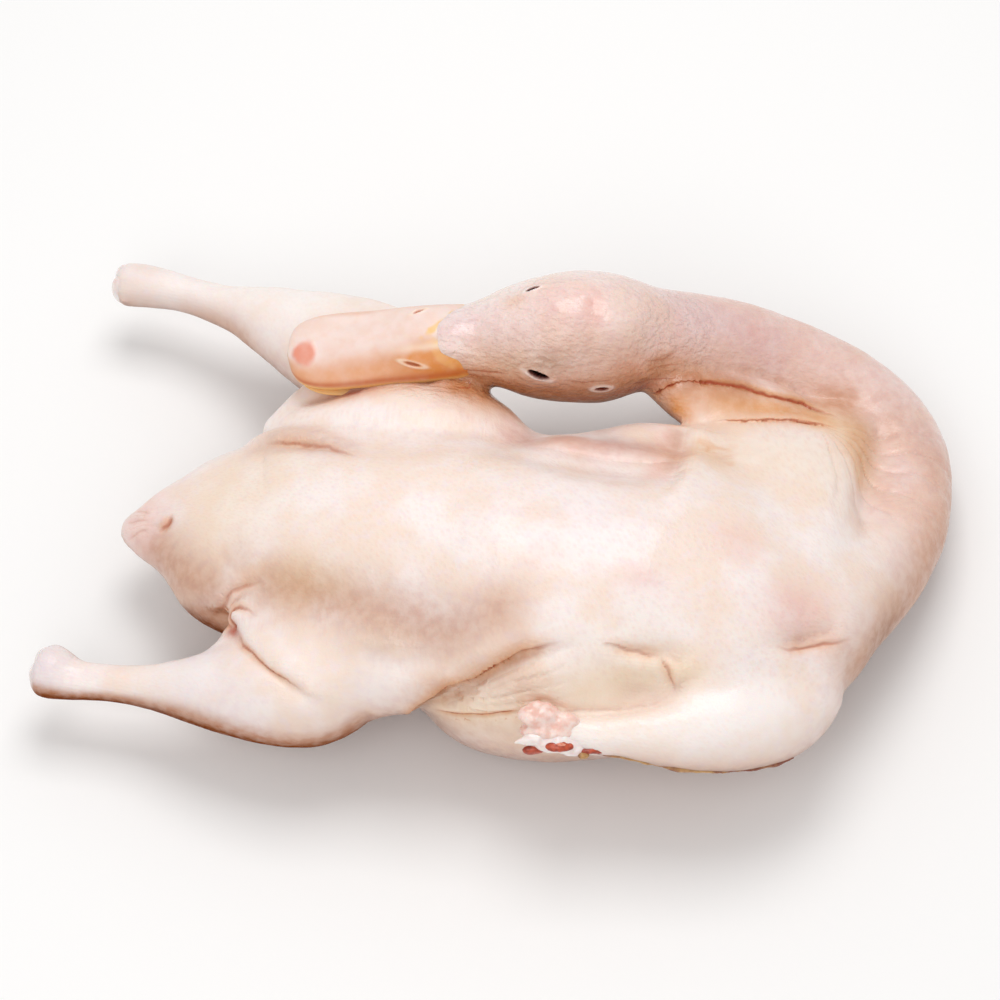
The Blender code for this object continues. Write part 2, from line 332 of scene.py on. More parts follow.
def relaxed(values: Array, pairs: Array, weight: Array, rounds: int) -> Array:
    """Moves each row towards the middle of its neighbours' rows, by its weight, in each round.

    Args:
        values: one row for each vertex, such as its place.
        pairs: the mesh's edges.
        weight: how far each row moves, from 0 to 1.
        rounds: how many times it moves.

    Returns:
        The moved rows.
    """
    count = np.bincount(pairs.ravel(), minlength=len(values))[:, None]
    ends = np.concatenate([pairs[:, 0], pairs[:, 1]])
    others = np.concatenate([pairs[:, 1], pairs[:, 0]])
    for _ in range(rounds):
        columns = [np.bincount(ends, values[others, k], len(values)) for k in range(values.shape[1])]
        values = values + weight[:, None] * (np.stack(columns, 1) / count - values)
    return values


def fuse(piece: Piece, voxel: float) -> None:
    """Makes a piece's overlapping surfaces one skin of even faces.

    Args:
        piece: the piece, whose mesh is replaced.
        voxel: how wide the faces are, in millimetres.
    """
    remesh = piece.modifiers.new("fuse", "REMESH")
    remesh.mode = "VOXEL"
    remesh.voxel_size = voxel * MM
    graph = bpy.context.evaluated_depsgraph_get()
    mesh = bpy.data.meshes.new_from_object(piece.evaluated_get(graph))
    old = piece.data
    piece.modifiers.clear()
    piece.data = mesh
    bpy.data.meshes.remove(old)


def refine(mesh: Mesh, wanted: Array) -> None:
    """Splits in two every edge whose both ends are wanted, and the faces with it.

    Args:
        mesh: the mesh to refine.
        wanted: one truth value for each vertex.
    """
    work = bmesh.new()
    work.from_mesh(mesh)
    work.verts.ensure_lookup_table()
    edges = [edge for edge in work.edges if all(wanted[end.index] for end in edge.verts)]
    bmesh.ops.subdivide_edges(work, edges=edges, cuts=1, use_grid_fill=True)
    work.to_mesh(mesh)
    work.free()
    mesh.update()


def set_attribute(mesh: Mesh, name: str, values: Array) -> None:
    """Stores one number for each vertex under a name that the material reads."""
    layer = mesh.attributes.new(name, "FLOAT", "POINT")
    layer.data.foreach_set("value", values.astype(np.float32))


# ---- fields over the skin


@dataclass(frozen=True)
class Nearest:
    """Where each point lies beside a path, in millimetres and shares of the path."""

    distance: Array
    flat: Array
    lift: Array
    left: Array
    along: Array


def beside_path(points: Array, normals: Array, path: Path) -> Nearest:
    """Each point's nearest place on a path, measured along the skin.

    The flat distance is the part of the gap that lies in the skin's plane, and the lift the
    part along its normal. The distance is the flat one plus a third of the lift, so a path
    that runs a little under the skin still counts.

    Args:
        points: places on the skin.
        normals: the skin's normals there.
        path: the path's corners.

    Returns:
        The distances, the side (1 on the path's left seen from outside, -1 on its right) and
        the share of the way along.
    """
    corners = np.array(path, float)
    lengths = np.linalg.norm(np.diff(corners, axis=0), axis=1)
    before = np.concatenate([[0], np.cumsum(lengths)])
    best = np.full(len(points), np.inf)
    flat, lift, along = np.zeros((3, len(points)))
    left = np.ones(len(points))
    for i, (a, b) in enumerate(zip(corners[:-1], corners[1:])):
        share = np.clip(((points - a) @ (b - a)) / lengths[i] ** 2, 0, 1)
        away = points - a - share[:, None] * (b - a)
        out = np.einsum("ij,ij->i", away, normals)
        level = np.linalg.norm(away - out[:, None] * normals, axis=1)
        turn = np.einsum("ij,ij->i", np.cross(normals, b - a), away)
        nearer = level + np.abs(out) / 3 < best
        best = np.where(nearer, level + np.abs(out) / 3, best)
        flat = np.where(nearer, level, flat)
        lift = np.where(nearer, np.abs(out), lift)
        left = np.where(nearer, np.where(turn > 0, 1.0, -1.0), left)
        along = np.where(nearer, (before[i] + share * lengths[i]) / before[-1], along)
    return Nearest(best, flat, lift, left, along)


@dataclass
class SkinWork:
    """What folds add to the skin: heights, and layers of lines of painted shade for the material to draw.

    A layer holds each point's distance from its nearest line, in line widths and signed by
    side, so that it runs smoothly through zero and a thin line stays thin between vertices.
    """

    height: Array
    side: Array
    share: Array

    LAYERS = 4
    FAR = 9.0

    @classmethod
    def empty(cls, count: int) -> "SkinWork":
        """No height and no line, for so many points."""
        layers = (cls.LAYERS, count)
        return cls(np.zeros(count), np.full(layers, cls.FAR), np.zeros(layers))


@dataclass(frozen=True)
class Fold:
    """A groove along a path with a raised lip on the path's left, seen from outside.

    The groove is depth * exp(-(distance / width)^2), narrower on the lip's side, and the lip
    is a bell as high and wide as stated. Both fade over shares of the path at its two ends.
    The line shade says how strongly the line at the groove's bottom is drawn, in its layer: painted
    shade along the crease.
    """

    path: Path
    depth: float
    width: float
    lip: float = 0.0
    lip_width: float = 4.0
    line_shade: float = 0.0
    line: float = 0.5
    layer: int = 0
    fade: tuple[float, float] = (0.3, 0.3)

    REACH = 16.0  # millimetres from the path past which nothing changes
    LINE_EDGE = (4.5, 6.5)  # line widths between which a line's layer fades out
    SUNK = (6.0, 10.0)  # millimetres off the skin between which a path stops counting

    def apply(self, points: Array, normals: Array, work: SkinWork) -> None:
        """Adds the fold to the points that it reaches.

        Args:
            points: places on the skin.
            normals: the skin's normals there.
            work: takes the fold's height and its line.
        """
        corners = np.array(self.path, float)
        low, high = corners.min(0) - self.REACH, corners.max(0) + self.REACH
        near = np.flatnonzero(((points > low) & (points < high)).all(axis=1))
        if not len(near):
            return
        place = beside_path(points[near], normals[near], self.path)
        start, end = self.fade
        ends = np.ones(len(near))
        if start:
            ends *= ramp(place.along, 0, start)
        if end:
            ends *= 1 - ramp(place.along, 1 - end, 1)
        narrow = np.where(place.left > 0, 0.6, 1.4) * self.width
        lip = bell((place.distance - self.lip_width) / self.lip_width)
        groove = self.depth * bell(place.distance / narrow)
        work.height[near] += ends * (self.lip * lip * (place.left > 0) - groove)
        if self.line_shade:
            side = np.clip(place.left * place.flat / self.line, -work.FAR, work.FAR)
            closer = np.abs(side) < np.abs(work.side[self.layer, near])
            work.side[self.layer, near[closer]] = side[closer]
            share = self.line_shade * ends * (1 - ramp(np.abs(side), *self.LINE_EDGE))
            share = share * (1 - ramp(place.lift, *self.SUNK))
            work.share[self.layer, near] = np.maximum(work.share[self.layer, near], share)


@dataclass(frozen=True)
class Fan:
    """Pleats that spread over the skin from one point, between two directions.

    At angle t of the way from the first direction to the last, the skin sinks by
    depth * (1 - |sin(pi * pleats * t)|)^2, which makes round ridges with sharp valleys. It
    fades close to the point, towards the reach, and past both directions.
    """

    apex: Point
    first: Point
    last: Point
    pleats: float
    reach: float
    depth: float

    def at(self, points: Array) -> Array:
        """How high the pleats lift each point.

        Args:
            points: places on the skin.

        Returns:
            The heights, none of them above 0.
        """
        ahead = unit(np.array(self.first, float))
        last = unit(np.array(self.last, float))
        across = unit(last - (last @ ahead) * ahead)
        away = points - self.apex
        gap = np.linalg.norm(away, axis=1)
        angle = np.arctan2(away @ across, away @ ahead) / np.arccos(last @ ahead)
        wobble = (0.5 * skin_noise(points, 20, 51) + 0.06 * skin_noise(points, 7, 52)) / self.pleats
        ridge = (1 - np.abs(np.sin(math.pi * self.pleats * (angle + wobble)))) ** 2
        inside = ramp(angle, -0.12, 0.05) * (1 - ramp(angle, 0.95, 1.12))
        fade = ramp(gap, 2, 18) * (1 - ramp(gap, 0.5 * self.reach, self.reach))
        return -self.depth * ridge * inside * fade * (0.8 + 0.4 * skin_noise(points, 15, 53))


@dataclass(frozen=True)
class Ripple:
    """Rings of wrinkles round a point: depth * cos(2 pi distance / spacing), fading outwards."""

    centre: Point
    spacing: float
    reach: float
    depth: float

    def at(self, points: Array) -> Array:
        """How high the wrinkles lift each point.

        Args:
            points: places on the skin.

        Returns:
            The heights. The rings are longer along the head than across it, and waver.
        """
        gap = np.linalg.norm((points - self.centre) * (0.8, 1, 1.15), axis=1)
        gap = gap + 1.2 * skin_noise(points, 7, 61)
        return self.depth * np.cos(2 * math.pi * gap / self.spacing) * bell(gap / self.reach)


@dataclass(frozen=True)
class Limb:
    """The middle line of a part of the body, which the rows of feather follicles follow.

    Follicles says how plainly they show on it, and pebbled whether its skin is finely wrinkled.
    """

    path: Path
    radius: float
    follicles: float
    pebbled: bool = False

    def rows(self, points: Array) -> tuple[Array, Array, Array]:
        """Where each point lies along and round the limb.

        Args:
            points: places on the skin.

        Returns:
            The distance from the line in radii, and the way along and round in millimetres.
        """
        corners = np.array(self.path, float)
        before, best = 0.0, np.full(len(points), np.inf)
        along, around = np.zeros((2, len(points)))
        for a, b in zip(corners[:-1], corners[1:]):
            length = np.linalg.norm(b - a)
            ahead = (b - a) / length
            level = unit(np.cross([0, 0, 1], ahead))
            way = (points - a) @ ahead
            away = points - a - np.clip(way, 0, length)[:, None] * ahead
            gap = np.linalg.norm(away, axis=1)
            angle = np.arctan2(away @ level, away @ np.cross(ahead, level))
            nearer = gap < best
            best = np.where(nearer, gap, best)
            along = np.where(nearer, before + way, along)
            around = np.where(nearer, angle * self.radius, around)
            before += length
        return best / self.radius, along, around


@dataclass(frozen=True)
class Spot:
    """A soft ellipsoid: strength * exp(-(distance / radius)^2) along each axis."""

    centre: Point
    radii: Point
    strength: float

    def at(self, points: Array) -> Array:
        """The spot's value at each point."""
        return self.strength * np.exp(-(((points - self.centre) / self.radii) ** 2).sum(axis=1))


@dataclass(frozen=True)
class Band:
    """A soft line: strength * exp(-(distance from the path / width)^2)."""

    path: Path
    width: float
    strength: float = 1.0

    def at(self, points: Array) -> Array:
        """The band's value at each point.

        Args:
            points: places on or near the skin.

        Returns:
            The values, from 0 to the strength.
        """
        best = np.full(len(points), np.inf)
        corners = np.array(self.path, float)
        for a, b in zip(corners[:-1], corners[1:]):
            share = np.clip(((points - a) @ (b - a)) / ((b - a) @ (b - a)), 0, 1)
            gap = np.linalg.norm(points - a - share[:, None] * (b - a), axis=1)
            best = np.minimum(best, gap)
        return self.strength * bell(best / self.width)

    def within(self, points: Array) -> Array:
        """Which points lie within the band's width of its path."""
        return self.at(points) > self.strength * math.exp(-1)


class Tone(Enum):
    """The colours that lie over the pale skin, each with the attribute that says how much; some are painted
    shade and light.
    """

    FAT = ("fat", "#efd0a0")
    LILAC = ("lilac", "#d9cbd5")
    BLUSH = ("blush", "#e8a79c")
    # orange: the skin's own orange on the neck's roll and in freckles, and painted shade on the cheek,
    # under the neck, in the tail's groove, on the far shank and beside crease lines
    ORANGE = ("orange", "#e39f5e")
    # painted shade: grey-brown in the thigh's valley and round the near eye and ear
    SALLOW = ("sallow", "#a8957a")
    # painted shade: brown in valleys and pleats, on skin that faces down, and along the neck's bend and
    # cheek
    SHADE = ("shade", "#b57143")
    # painted shadow: near black-brown on undersides, and the dark rim under the near leg
    UNDER = ("under", "#63290f")
    # painted shade: red-brown in deep creases and pockets, in eye and ear slits, and where thigh meets bill
    CREASE = ("crease", "#a83a1c")
    # near white: painted light on the tops of wing and drumsticks, and the lids' pale rings, partly painted
    # light
    PALE = ("pale", "#fcf3ef")
    # painted shade: near black inside the eye and ear slits
    HOLLOW = ("hollow", "#150b08")

    def __init__(self, attribute: str, colour: str) -> None:
        """Keeps the attribute's name and the colour under plain names."""
        self.attribute = attribute
        self.colour = colour


# ---- materials


BUMP_SOCKETS = ("Strength", "Distance", "Height", "Normal")


class Step(Enum):
    """What nodes are used for: type, the sockets that take values, the one that gives, and settings."""

    PLACE = ("TexCoord", (), "Object", {})
    STORED = ("Attribute", (), "Fac", {})
    NOISE = ("TexNoise", ("Vector", "Scale", "Detail"), 0, {})
    CELLS = ("TexVoronoi", ("Vector", "Scale", "Randomness"), "Distance", {"voronoi_dimensions": "2D"})
    JOIN = ("CombineXYZ", (0, 1), 0, {})
    STRETCH = ("VectorMath", (0, 1), 0, {"operation": "MULTIPLY"})
    ADD = ("Math", (0, 1), 0, {"operation": "ADD"})
    SUBTRACT = ("Math", (0, 1), 0, {"operation": "SUBTRACT"})
    MULTIPLY = ("Math", (0, 1), 0, {"operation": "MULTIPLY"})
    LARGER = ("Math", (0, 1), 0, {"operation": "MAXIMUM"})
    UNSIGNED = ("Math", (0,), 0, {"operation": "ABSOLUTE"})
    CLAMP = ("Clamp", (0,), 0, {})
    RAMP = ("MapRange", (0, 1, 2, 3, 4), 0, {"interpolation_type": "SMOOTHSTEP"})
    MIX = ("Mix", (0, 6, 7), 2, {"data_type": "RGBA"})
    BUMP = ("Bump", BUMP_SOCKETS, 0, {})
    GROOVE = ("Bump", BUMP_SOCKETS, 0, {"invert": True})


class Shading:
    """A new material, with the one way in which nodes are added to it."""

    def __init__(self, name: str) -> None:
        """Makes the material, with its Principled shader."""
        self.material = bpy.data.materials.new(name)
        self.material.use_nodes = True

    def add(self, step: Step, *values: Socket | float | tuple, **settings: str) -> Socket:
        """Adds one node with its settings and links.

        Args:
            step: what the node does.
            *values: for its sockets in turn, numbers or colours, or the sockets that feed them.
            **settings: the node's own properties, beside its step's.

        Returns:
            The socket that gives the result.
        """
        kind, sockets, output, fixed = step.value
        node = self.material.node_tree.nodes.new(f"ShaderNode{kind}")
        for name, value in (fixed | settings).items():
            setattr(node, name, value)
        self.feed(node, dict(zip(sockets, values)))
        return node.outputs[output]

    def feed(self, node: bpy.types.Node, inputs: dict) -> None:
        """Gives a node's sockets their values and links.

        Args:
            node: the node.
            inputs: socket name or number to a value, or to the socket that feeds it.
        """
        for key, value in inputs.items():
            if isinstance(value, Socket):
                self.material.node_tree.links.new(value, node.inputs[key])
            else:
                node.inputs[key].default_value = value

    def finished(self, surface: dict) -> bpy.types.Material:
        """The material, once its Principled shader has these values and links."""
        self.feed(self.material.node_tree.nodes["Principled BSDF"], surface)
        return self.material


def per_metre(size_mm: float) -> float:
    """A pattern's scale from its real size: how many of them fit in a metre."""
    return 1 / (size_mm * MM)


@dataclass(frozen=True)
class RawSkin:
    """Raw duck skin, scalded and plucked: thin, pale, over a layer of soft fat.

    Light goes a few millimetres in, so thin parts glow warm. The film of water on it gives
    small broken glints. Each feather's follicle is a low pimple, in slanting rows 2 to 3 mm
    apart that run along and round each limb. Creases are drawn orange, then red-brown: painted
    shade. Several tones also paint shade, and a few paint light.

    Sizes are in millimetres. A range gives, for a low and a high value, what each becomes.
    """

    pale: str = "#f9ece7"
    warm: str = "#f5e0d2"
    cool: str = "#f3e2e2"
    # line: the colour of the crease lines, painted shade at the bottom of each crease
    line: str = "#ab431b"
    pore: str = "#dfae96"
    mottle_mm: float = 24.0
    fleck_mm: float = 4.0
    follicle_mm: float = 2.5
    pimple_patch_mm: float = 18.0
    grain_mm: float = 0.8
    crinkle_mm: float = 2.0
    wet_mm: float = 7.0
    pimple_height: float = 0.15
    grain_height: float = 0.22
    crinkle_height: float = 0.65
    line_depth: float = 0.25
    warmth: Range = (0.38, 0.62, 0, 1)
    coolness: Range = (0.46, 0.74, 0, 0.6)
    raggedness: Range = (0.3, 0.7, 0.86, 1.14)
    # the crease lines' painted shade: a dark core, and a warm halo beside it
    line_core: Range = (0.1, 1.3, 0.9, 0)  # from line widths
    line_halo: Range = (0.3, 5.0, 0.75, 0)
    line_waver: float = 1.6
    pores: Range = (0, 0.45, 0.11, 0)  # from shares of the follicles' spacing
    pimples: Range = (0, 0.55, 1, 0)
    pimple_patches: Range = (0.38, 0.62, 0.15, 1)
    pebbles: Range = (0.3, 0.7, 0, 1)
    wetness: Range = (0.35, 0.7, 0.3, 0.5)
    # how much coat and shine stay where shade is painted near black
    gloss_in_painted_dark: Range = (0, 0.6, 1, 0)
    film: float = 0.2
    film_on_crinkles: float = 0.5
    shine: float = 0.4
    constants: tuple[tuple[str, float | Point], ...] = (
        ("IOR", 1.42),
        ("Subsurface Weight", 0.2),
        ("Subsurface Radius", (1.0, 0.42, 0.26)),
        ("Subsurface Scale", 3.0 * MM),
        ("Coat Roughness", 0.11),
    )

    def material(self) -> bpy.types.Material:
        """Builds the shader: mottled ground, tones, lines, pores, relief and the film of water.

        Returns:
            The material.
        """
        shading = Shading("raw_scalded_skin")
        add = shading.add
        place = add(Step.PLACE)
        mottle = add(Step.NOISE, place, per_metre(self.mottle_mm), 3.0)
        fleck = add(Step.NOISE, place, per_metre(self.fleck_mm), 4.0)
        warmth = add(Step.RAMP, mottle, *self.warmth)
        colour = add(Step.MIX, warmth, linear(self.pale), linear(self.warm))
        colour = add(Step.MIX, add(Step.RAMP, fleck, *self.coolness), colour, linear(self.cool))
        ragged = add(Step.RAMP, fleck, *self.raggedness)
        core, halo = self.lines(shading, place)
        # tones over the mottled ground, several of them painted shade and painted light
        for tone in Tone:
            amount = add(Step.STORED, attribute_name=tone.attribute)
            # the warm halo beside each crease line goes into the orange: painted shade beside the crease
            if tone is Tone.ORANGE:
                amount = add(Step.LARGER, amount, halo)
            share = add(Step.CLAMP, add(Step.MULTIPLY, amount, ragged))
            colour = add(Step.MIX, share, colour, linear(tone.colour))
        # the crease lines: painted shade along the bottom of each crease
        colour = add(Step.MIX, core, colour, linear(self.line))
        follicle = self.follicle(shading)
        row_share = add(Step.STORED, attribute_name="row_share")
        dots = add(Step.MULTIPLY, add(Step.RAMP, follicle, *self.pores), row_share)
        wet = add(Step.NOISE, place, per_metre(self.wet_mm), 3.0)
        crinkle = add(Step.STORED, attribute_name="crinkle")
        film = add(Step.ADD, self.film, add(Step.MULTIPLY, crinkle, self.film_on_crinkles))
        # no coat and less shine where shade is painted near black, so it stays dark
        painted_dark_share = add(
            Step.LARGER,
            add(Step.STORED, attribute_name=Tone.HOLLOW.attribute),
            add(Step.STORED, attribute_name=Tone.UNDER.attribute),
        )
        gloss_outside_painted_dark = add(Step.RAMP, painted_dark_share, *self.gloss_in_painted_dark)
        surface = {
            "Base Color": add(Step.MIX, dots, colour, linear(self.pore)),
            "Normal": self.relief(shading, place, follicle, core),
            "Roughness": add(Step.RAMP, wet, *self.wetness),
            "Coat Weight": add(Step.MULTIPLY, film, gloss_outside_painted_dark),
            "Specular IOR Level": add(Step.MULTIPLY, self.shine, gloss_outside_painted_dark),
        }
        return shading.finished(surface | dict(self.constants))

    def lines(self, shading: Shading, place: Socket) -> tuple[Socket, Socket]:
        """Draws the crease lines of every layer, thin or broad by their distance: painted shade.

        Args:
            shading: the material.
            place: the place on the skin.

        Returns:
            How much each place takes of a line's core, and of its warm halo, both painted shade.
        """
        add = shading.add
        core, halo = 0.0, 0.0
        drift = add(Step.NOISE, place, per_metre(self.fleck_mm), 0.0)
        waver = add(Step.MULTIPLY, add(Step.SUBTRACT, drift, 0.5), self.line_waver)
        for layer in range(SkinWork.LAYERS):
            side = add(Step.STORED, attribute_name=f"line_side_{layer}")
            side = add(Step.UNSIGNED, add(Step.ADD, side, waver))
            share = add(Step.STORED, attribute_name=f"line_share_{layer}")
            thin = add(Step.MULTIPLY, add(Step.RAMP, side, *self.line_core), share)
            broad = add(Step.MULTIPLY, add(Step.RAMP, side, *self.line_halo), share)
            core, halo = add(Step.LARGER, core, thin), add(Step.LARGER, halo, broad)
        return core, halo

    def follicle(self, shading: Shading) -> Socket:
        """Lays follicles on a slanting grid: half a step sideways and 0.87 of one up for each row.

        Args:
            shading: the material.

        Returns:
            The distance from the nearest follicle, as a share of their spacing.
        """
        add = shading.add
        along = add(Step.STORED, attribute_name="row_along")
        around = add(Step.STORED, attribute_name="row_around")
        slant = add(Step.ADD, along, add(Step.MULTIPLY, around, 0.5))
        grid = add(Step.JOIN, slant, add(Step.MULTIPLY, around, 0.87))
        return add(Step.CELLS, grid, 1 / self.follicle_mm, 0.85)

    def relief(self, shading: Shading, place: Socket, follicle: Socket, core: Socket) -> Socket:
        """Stacks the bumps of follicles, grain and crinkles, and the grooves of the lines.

        Args:
            shading: the material.
            place: the place on the skin.
            follicle: the distance from the nearest follicle.
            core: how much of a line's core lies there.

        Returns:
            The bumped normal.
        """
        add = shading.add
        patchy = add(Step.NOISE, place, per_metre(self.pimple_patch_mm), 2.0)
        patchy = add(Step.RAMP, patchy, *self.pimple_patches)
        patchy = add(Step.MULTIPLY, patchy, add(Step.STORED, attribute_name="row_share"))
        pimple = add(Step.MULTIPLY, add(Step.RAMP, follicle, *self.pimples), patchy)
        normal = add(Step.BUMP, 0.5, self.pimple_height * MM, pimple)
        grain = add(Step.NOISE, place, per_metre(self.grain_mm), 3.0)
        normal = add(Step.BUMP, 0.5, self.grain_height * MM, grain, normal)
        normal = add(Step.BUMP, 0.7, self.crinkle_height * MM, self.crinkle(shading, place), normal)
        return add(Step.GROOVE, 0.5, self.line_depth * MM, core, normal)

    def crinkle(self, shading: Shading, place: Socket) -> Socket:
        """The pebbled, finely wrinkled skin of head and neck: noise a little longer along the head.

        Args:
            shading: the material.
            place: the place on the skin.

        Returns:
            The height, from 0 to 1.
        """
        add = shading.add
        grid = add(Step.STRETCH, place, (0.65, 1.0, 0.9))
        pebbles = add(Step.NOISE, grid, per_metre(self.crinkle_mm), 2.0)
        pebbles = add(Step.RAMP, pebbles, *self.pebbles)
        return add(Step.MULTIPLY, pebbles, add(Step.STORED, attribute_name="crinkle"))


# ---- the skin


TRUNK = Tube(
    (
        (-137.2, 0.6, 33, 7.4, 4.5, 4.5), (-131, 1.2, 34, 13.6, 8, 6.5),
        (-120, 3, 35, 22.4, 12, 10), (-105, 4, 38, 34, 18, 17), (-84, 3, 41, 44, 27, 27),
        (-56, 2, 45, 46, 36, 33), (-28, 0, 45, 48, 44, 38), (-10, 0, 42, 52, 50, 42.5),
        (8, -3, 41, 63.5, 53, 45), (26, -3, 41, 66, 53, 45.5), (60, 1, 41, 61, 53, 45.5),
        (95, 1, 42, 55, 46, 45.5), (116, 3, 43, 43, 36, 39), (129, 6, 44, 28, 26, 27),
        (139, 14, 43, 14, 14, 15),
    )
)
RIGHT_THIGH = Tube(
    (
        (-85, -42, 47, 5), (-75, -43, 48, 15, 13, 14), (-55, -44, 49, 24, 20, 22),
        (-28, -42, 52, 27, 22, 26), (2, -39, 55, 24, 19, 24), (24, -36, 58, 15, 14, 18),
        (36, -33, 62, 6),
    )
)
RIGHT_DRUMSTICK = Tube(
    (
        (-4, -31, 49, 14), (-18, -37, 48, 19), (-40, -49, 44, 23),
        (-58, -56.3, 41, 25.7, 25, 25), (-80, -62.3, 38, 18.8), (-98, -64, 35, 12.4),
        (-113, -64, 32, 8.6), (-128, -64.6, 31, 7.2), (-141, -65.4, 30, 7.8),
        (-148.5, -64, 30, 10.2), (-153.6, -63, 30, 10.8),
    ),
    bluntness=0.4,
)
LEFT_THIGH = Tube(
    (
        (-93, 50, 42, 6), (-80, 54, 44, 17, 16, 16), (-58, 56, 46, 25, 22, 24),
        (-32, 55, 48, 26, 24, 26), (-9, 51, 50, 20, 19, 23), (7, 43, 54, 11, 11, 13),
    )
)
LEFT_DRUMSTICK = Tube(
    (
        (-30, 77, 45, 15), (-44, 82, 44, 23), (-62, 88.5, 43, 24), (-80, 94, 42, 21.6),
        (-98, 100.4, 40, 16.6), (-115, 106, 38, 11.6), (-127, 109, 36, 8.8),
        (-142, 113, 34, 7.8), (-157, 115, 33, 8.8), (-170, 115, 32, 9.2),
    ),
    bluntness=0.4,
)
RIGHT_WING = Tube(
    (
        (128, -23.5, 45, 15.5, 15, 15), (117, -37, 46.5, 18.8, 18.5, 20.5),
        (103, -48, 51, 18, 18, 19), (87, -56, 53.5, 15, 15, 15.5), (72, -61, 56, 11.8),
        (59, -65, 57, 8), (48, -67, 57, 7.6), (42, -67, 57, 8),
    ),
    bluntness=0.5,
)
LEFT_WING = Tube(
    (
        (112, 34, 50, 20), (92, 48, 48, 17, 14, 15), (69, 60, 51, 14, 12.5, 12.5),
        (48, 60, 52, 12, 11, 11), (30, 58, 49.5, 9, 8, 8), (16, 55.5, 48, 8), (7, 54, 46, 9),
        (2, 54, 45, 9),
    ),
    bluntness=0.5,
)
NECK = Tube(
    (
        (108, -1, 50, 28), (127, 10, 44, 24.5, 25, 25), (141.5, 31.5, 35.5, 21),
        (149.5, 58.5, 27.5, 20.5, 20, 20), (150, 82, 21.5, 20.5, 20, 20),
        (145, 100.5, 20, 20.5, 20, 20), (135, 112, 22.5, 20.3, 20, 20),
        (121.5, 120, 28.5, 18, 18, 19), (103, 123, 36.5, 17, 16.5, 18),
        (83, 122.3, 45, 16.8, 16.5, 17.5), (63, 116.5, 53.5, 17.6, 17.5, 17.5),
        (45, 108, 62, 19, 19, 21), (34, 104, 65, 20, 20, 22),
    )
)
NECK_SKIN = Tube(
    (
        (98, 10, 66, 30, 13, 28), (101, 40, 58.5, 31, 13, 32), (102, 67, 49, 31, 12, 32),
        (103, 88, 38, 33, 11, 22), (100, 108, 28, 31, 9, 14),
    ),
    exponent=2.8,
    bluntness=0.2,
)
NECK_FOLD = Tube(
    (
        (44, 97.5, 55, 5.5), (57, 92, 53, 10, 9, 9), (69, 89, 51, 13, 9, 9.5),
        (80, 93, 48, 12.5, 8.5, 9), (91, 95, 45, 11.5, 8.5, 8.5), (104, 94.5, 41, 10, 8, 8),
        (116, 89.5, 39, 6),
    )
)
HEAD = Tube(
    (
        (44, 107, 63.5, 19, 20, 24), (31, 102, 67, 23.3, 24.5, 29.5),
        (18, 98, 69, 24, 26.3, 30), (4, 94, 71, 22.7, 22, 29), (-8, 90, 72, 20, 16, 24),
        (-18, 87, 71.5, 16.4, 12.3, 17), (-27, 84.5, 71.5, 13.6, 12, 8.5),
        (-34, 82, 71.5, 12, 10.5, 5.5),
    ),
    bluntness=0.3,
)

THIGH_FRONT = ((-12, -70, 44), (-6, -66, 56), (10, -56, 67), (23, -49, 75), (37, -44, 78), (51, -40, 80))
KNEE = ((-88, -38, 49), (-82, -48, 54), (-73, -58, 59), (-64, -64, 60), (-54, -68, 59))
TAIL_RIGHT = ((-78, -34, 60), (-85, -36, 54), (-88, -40, 46), (-86, -46, 40))
TAIL_LEFT = ((-92, 34, 55), (-85, 30, 60), (-74, 31, 64), (-60, 27, 73))
WING_TOP = ((92, -44, 73), (84, -46, 71), (77, -53, 67), (68, -57, 65), (55, -61, 63), (44, -63, 63))
ARMPIT = ((84, -43, 74), (74, -41, 77), (62, -41, 79), (51, -40, 80))
SHOULDER = ((134, -10, 63), (124, -19, 68), (114, -26, 72), (104, -30, 76))

BACKBONE = ((-140, 0, 33), (-105, 3, 38), (-56, 1, 44), (-10, -1, 42), (60, 1, 42), (122, 4, 43))
LIMBS = (
    Limb(BACKBONE, 50, 1.0),
    Limb(RIGHT_DRUMSTICK.middle(1), 20, 0.45),
    Limb(LEFT_DRUMSTICK.middle(1), 20, 0.45),
    Limb(RIGHT_WING.middle(1), 15, 0.6),
    Limb(LEFT_WING.middle(1), 15, 0.6),
    Limb(NECK.middle(1), 19, 0.45, pebbled=True),
    Limb(HEAD.middle(), 22, 0.35, pebbled=True),
)

THIGH_LINE = (
    (-14, -70, 48), (-10, -66, 57), (-1, -61, 65), (7, -56, 67), (17, -51, 74), (24, -48, 78),
    (39, -43, 81),
)
FLANK_LINE = ((-7, -62, 47), (5, -65, 53), (15, -65, 57), (28, -64, 62))
WING_LINE = ((24, -59, 66), (35, -60, 66), (44, -61, 63), (60, -57, 62), (73, -53, 64), (79, -49, 67))
ARMPIT_LINE = ((49, -39, 78), (61, -41, 78), (75, -40, 76))
ARMPIT_CURL = ((72, -39, 76), (76, -44, 73), (79, -48, 69), (80, -50, 66))
SHOULDER_LINE = ((110, -27, 72), (118, -24, 68), (127, -18, 65), (135, -14, 62), (141, -10, 60))
KNEE_LINE = ((-85, -45, 53), (-79, -53, 56), (-73, -58, 59), (-66, -63, 60), (-59, -67, 61), (-50, -70, 59))
TAIL_OUTER = (
    (-74, -30, 65), (-81, -31, 61.5), (-88, -32, 56), (-90.5, -36, 50), (-88, -41, 49),
    (-84, -45.5, 52),
)
TAIL_INNER = ((-83, -46, 52.5), (-87, -41, 52), (-86, -37.5, 55), (-80, -40, 60), (-75, -43, 62))
HIP_LINE = ((-92, 34, 55), (-87, 33, 58), (-77, 32, 63), (-64, 29, 69), (-50, 21, 78))
RUMP_LINE = ((-88, 33, 57), (-89, 26, 60), (-86, 16, 66), (-83, 4, 70))
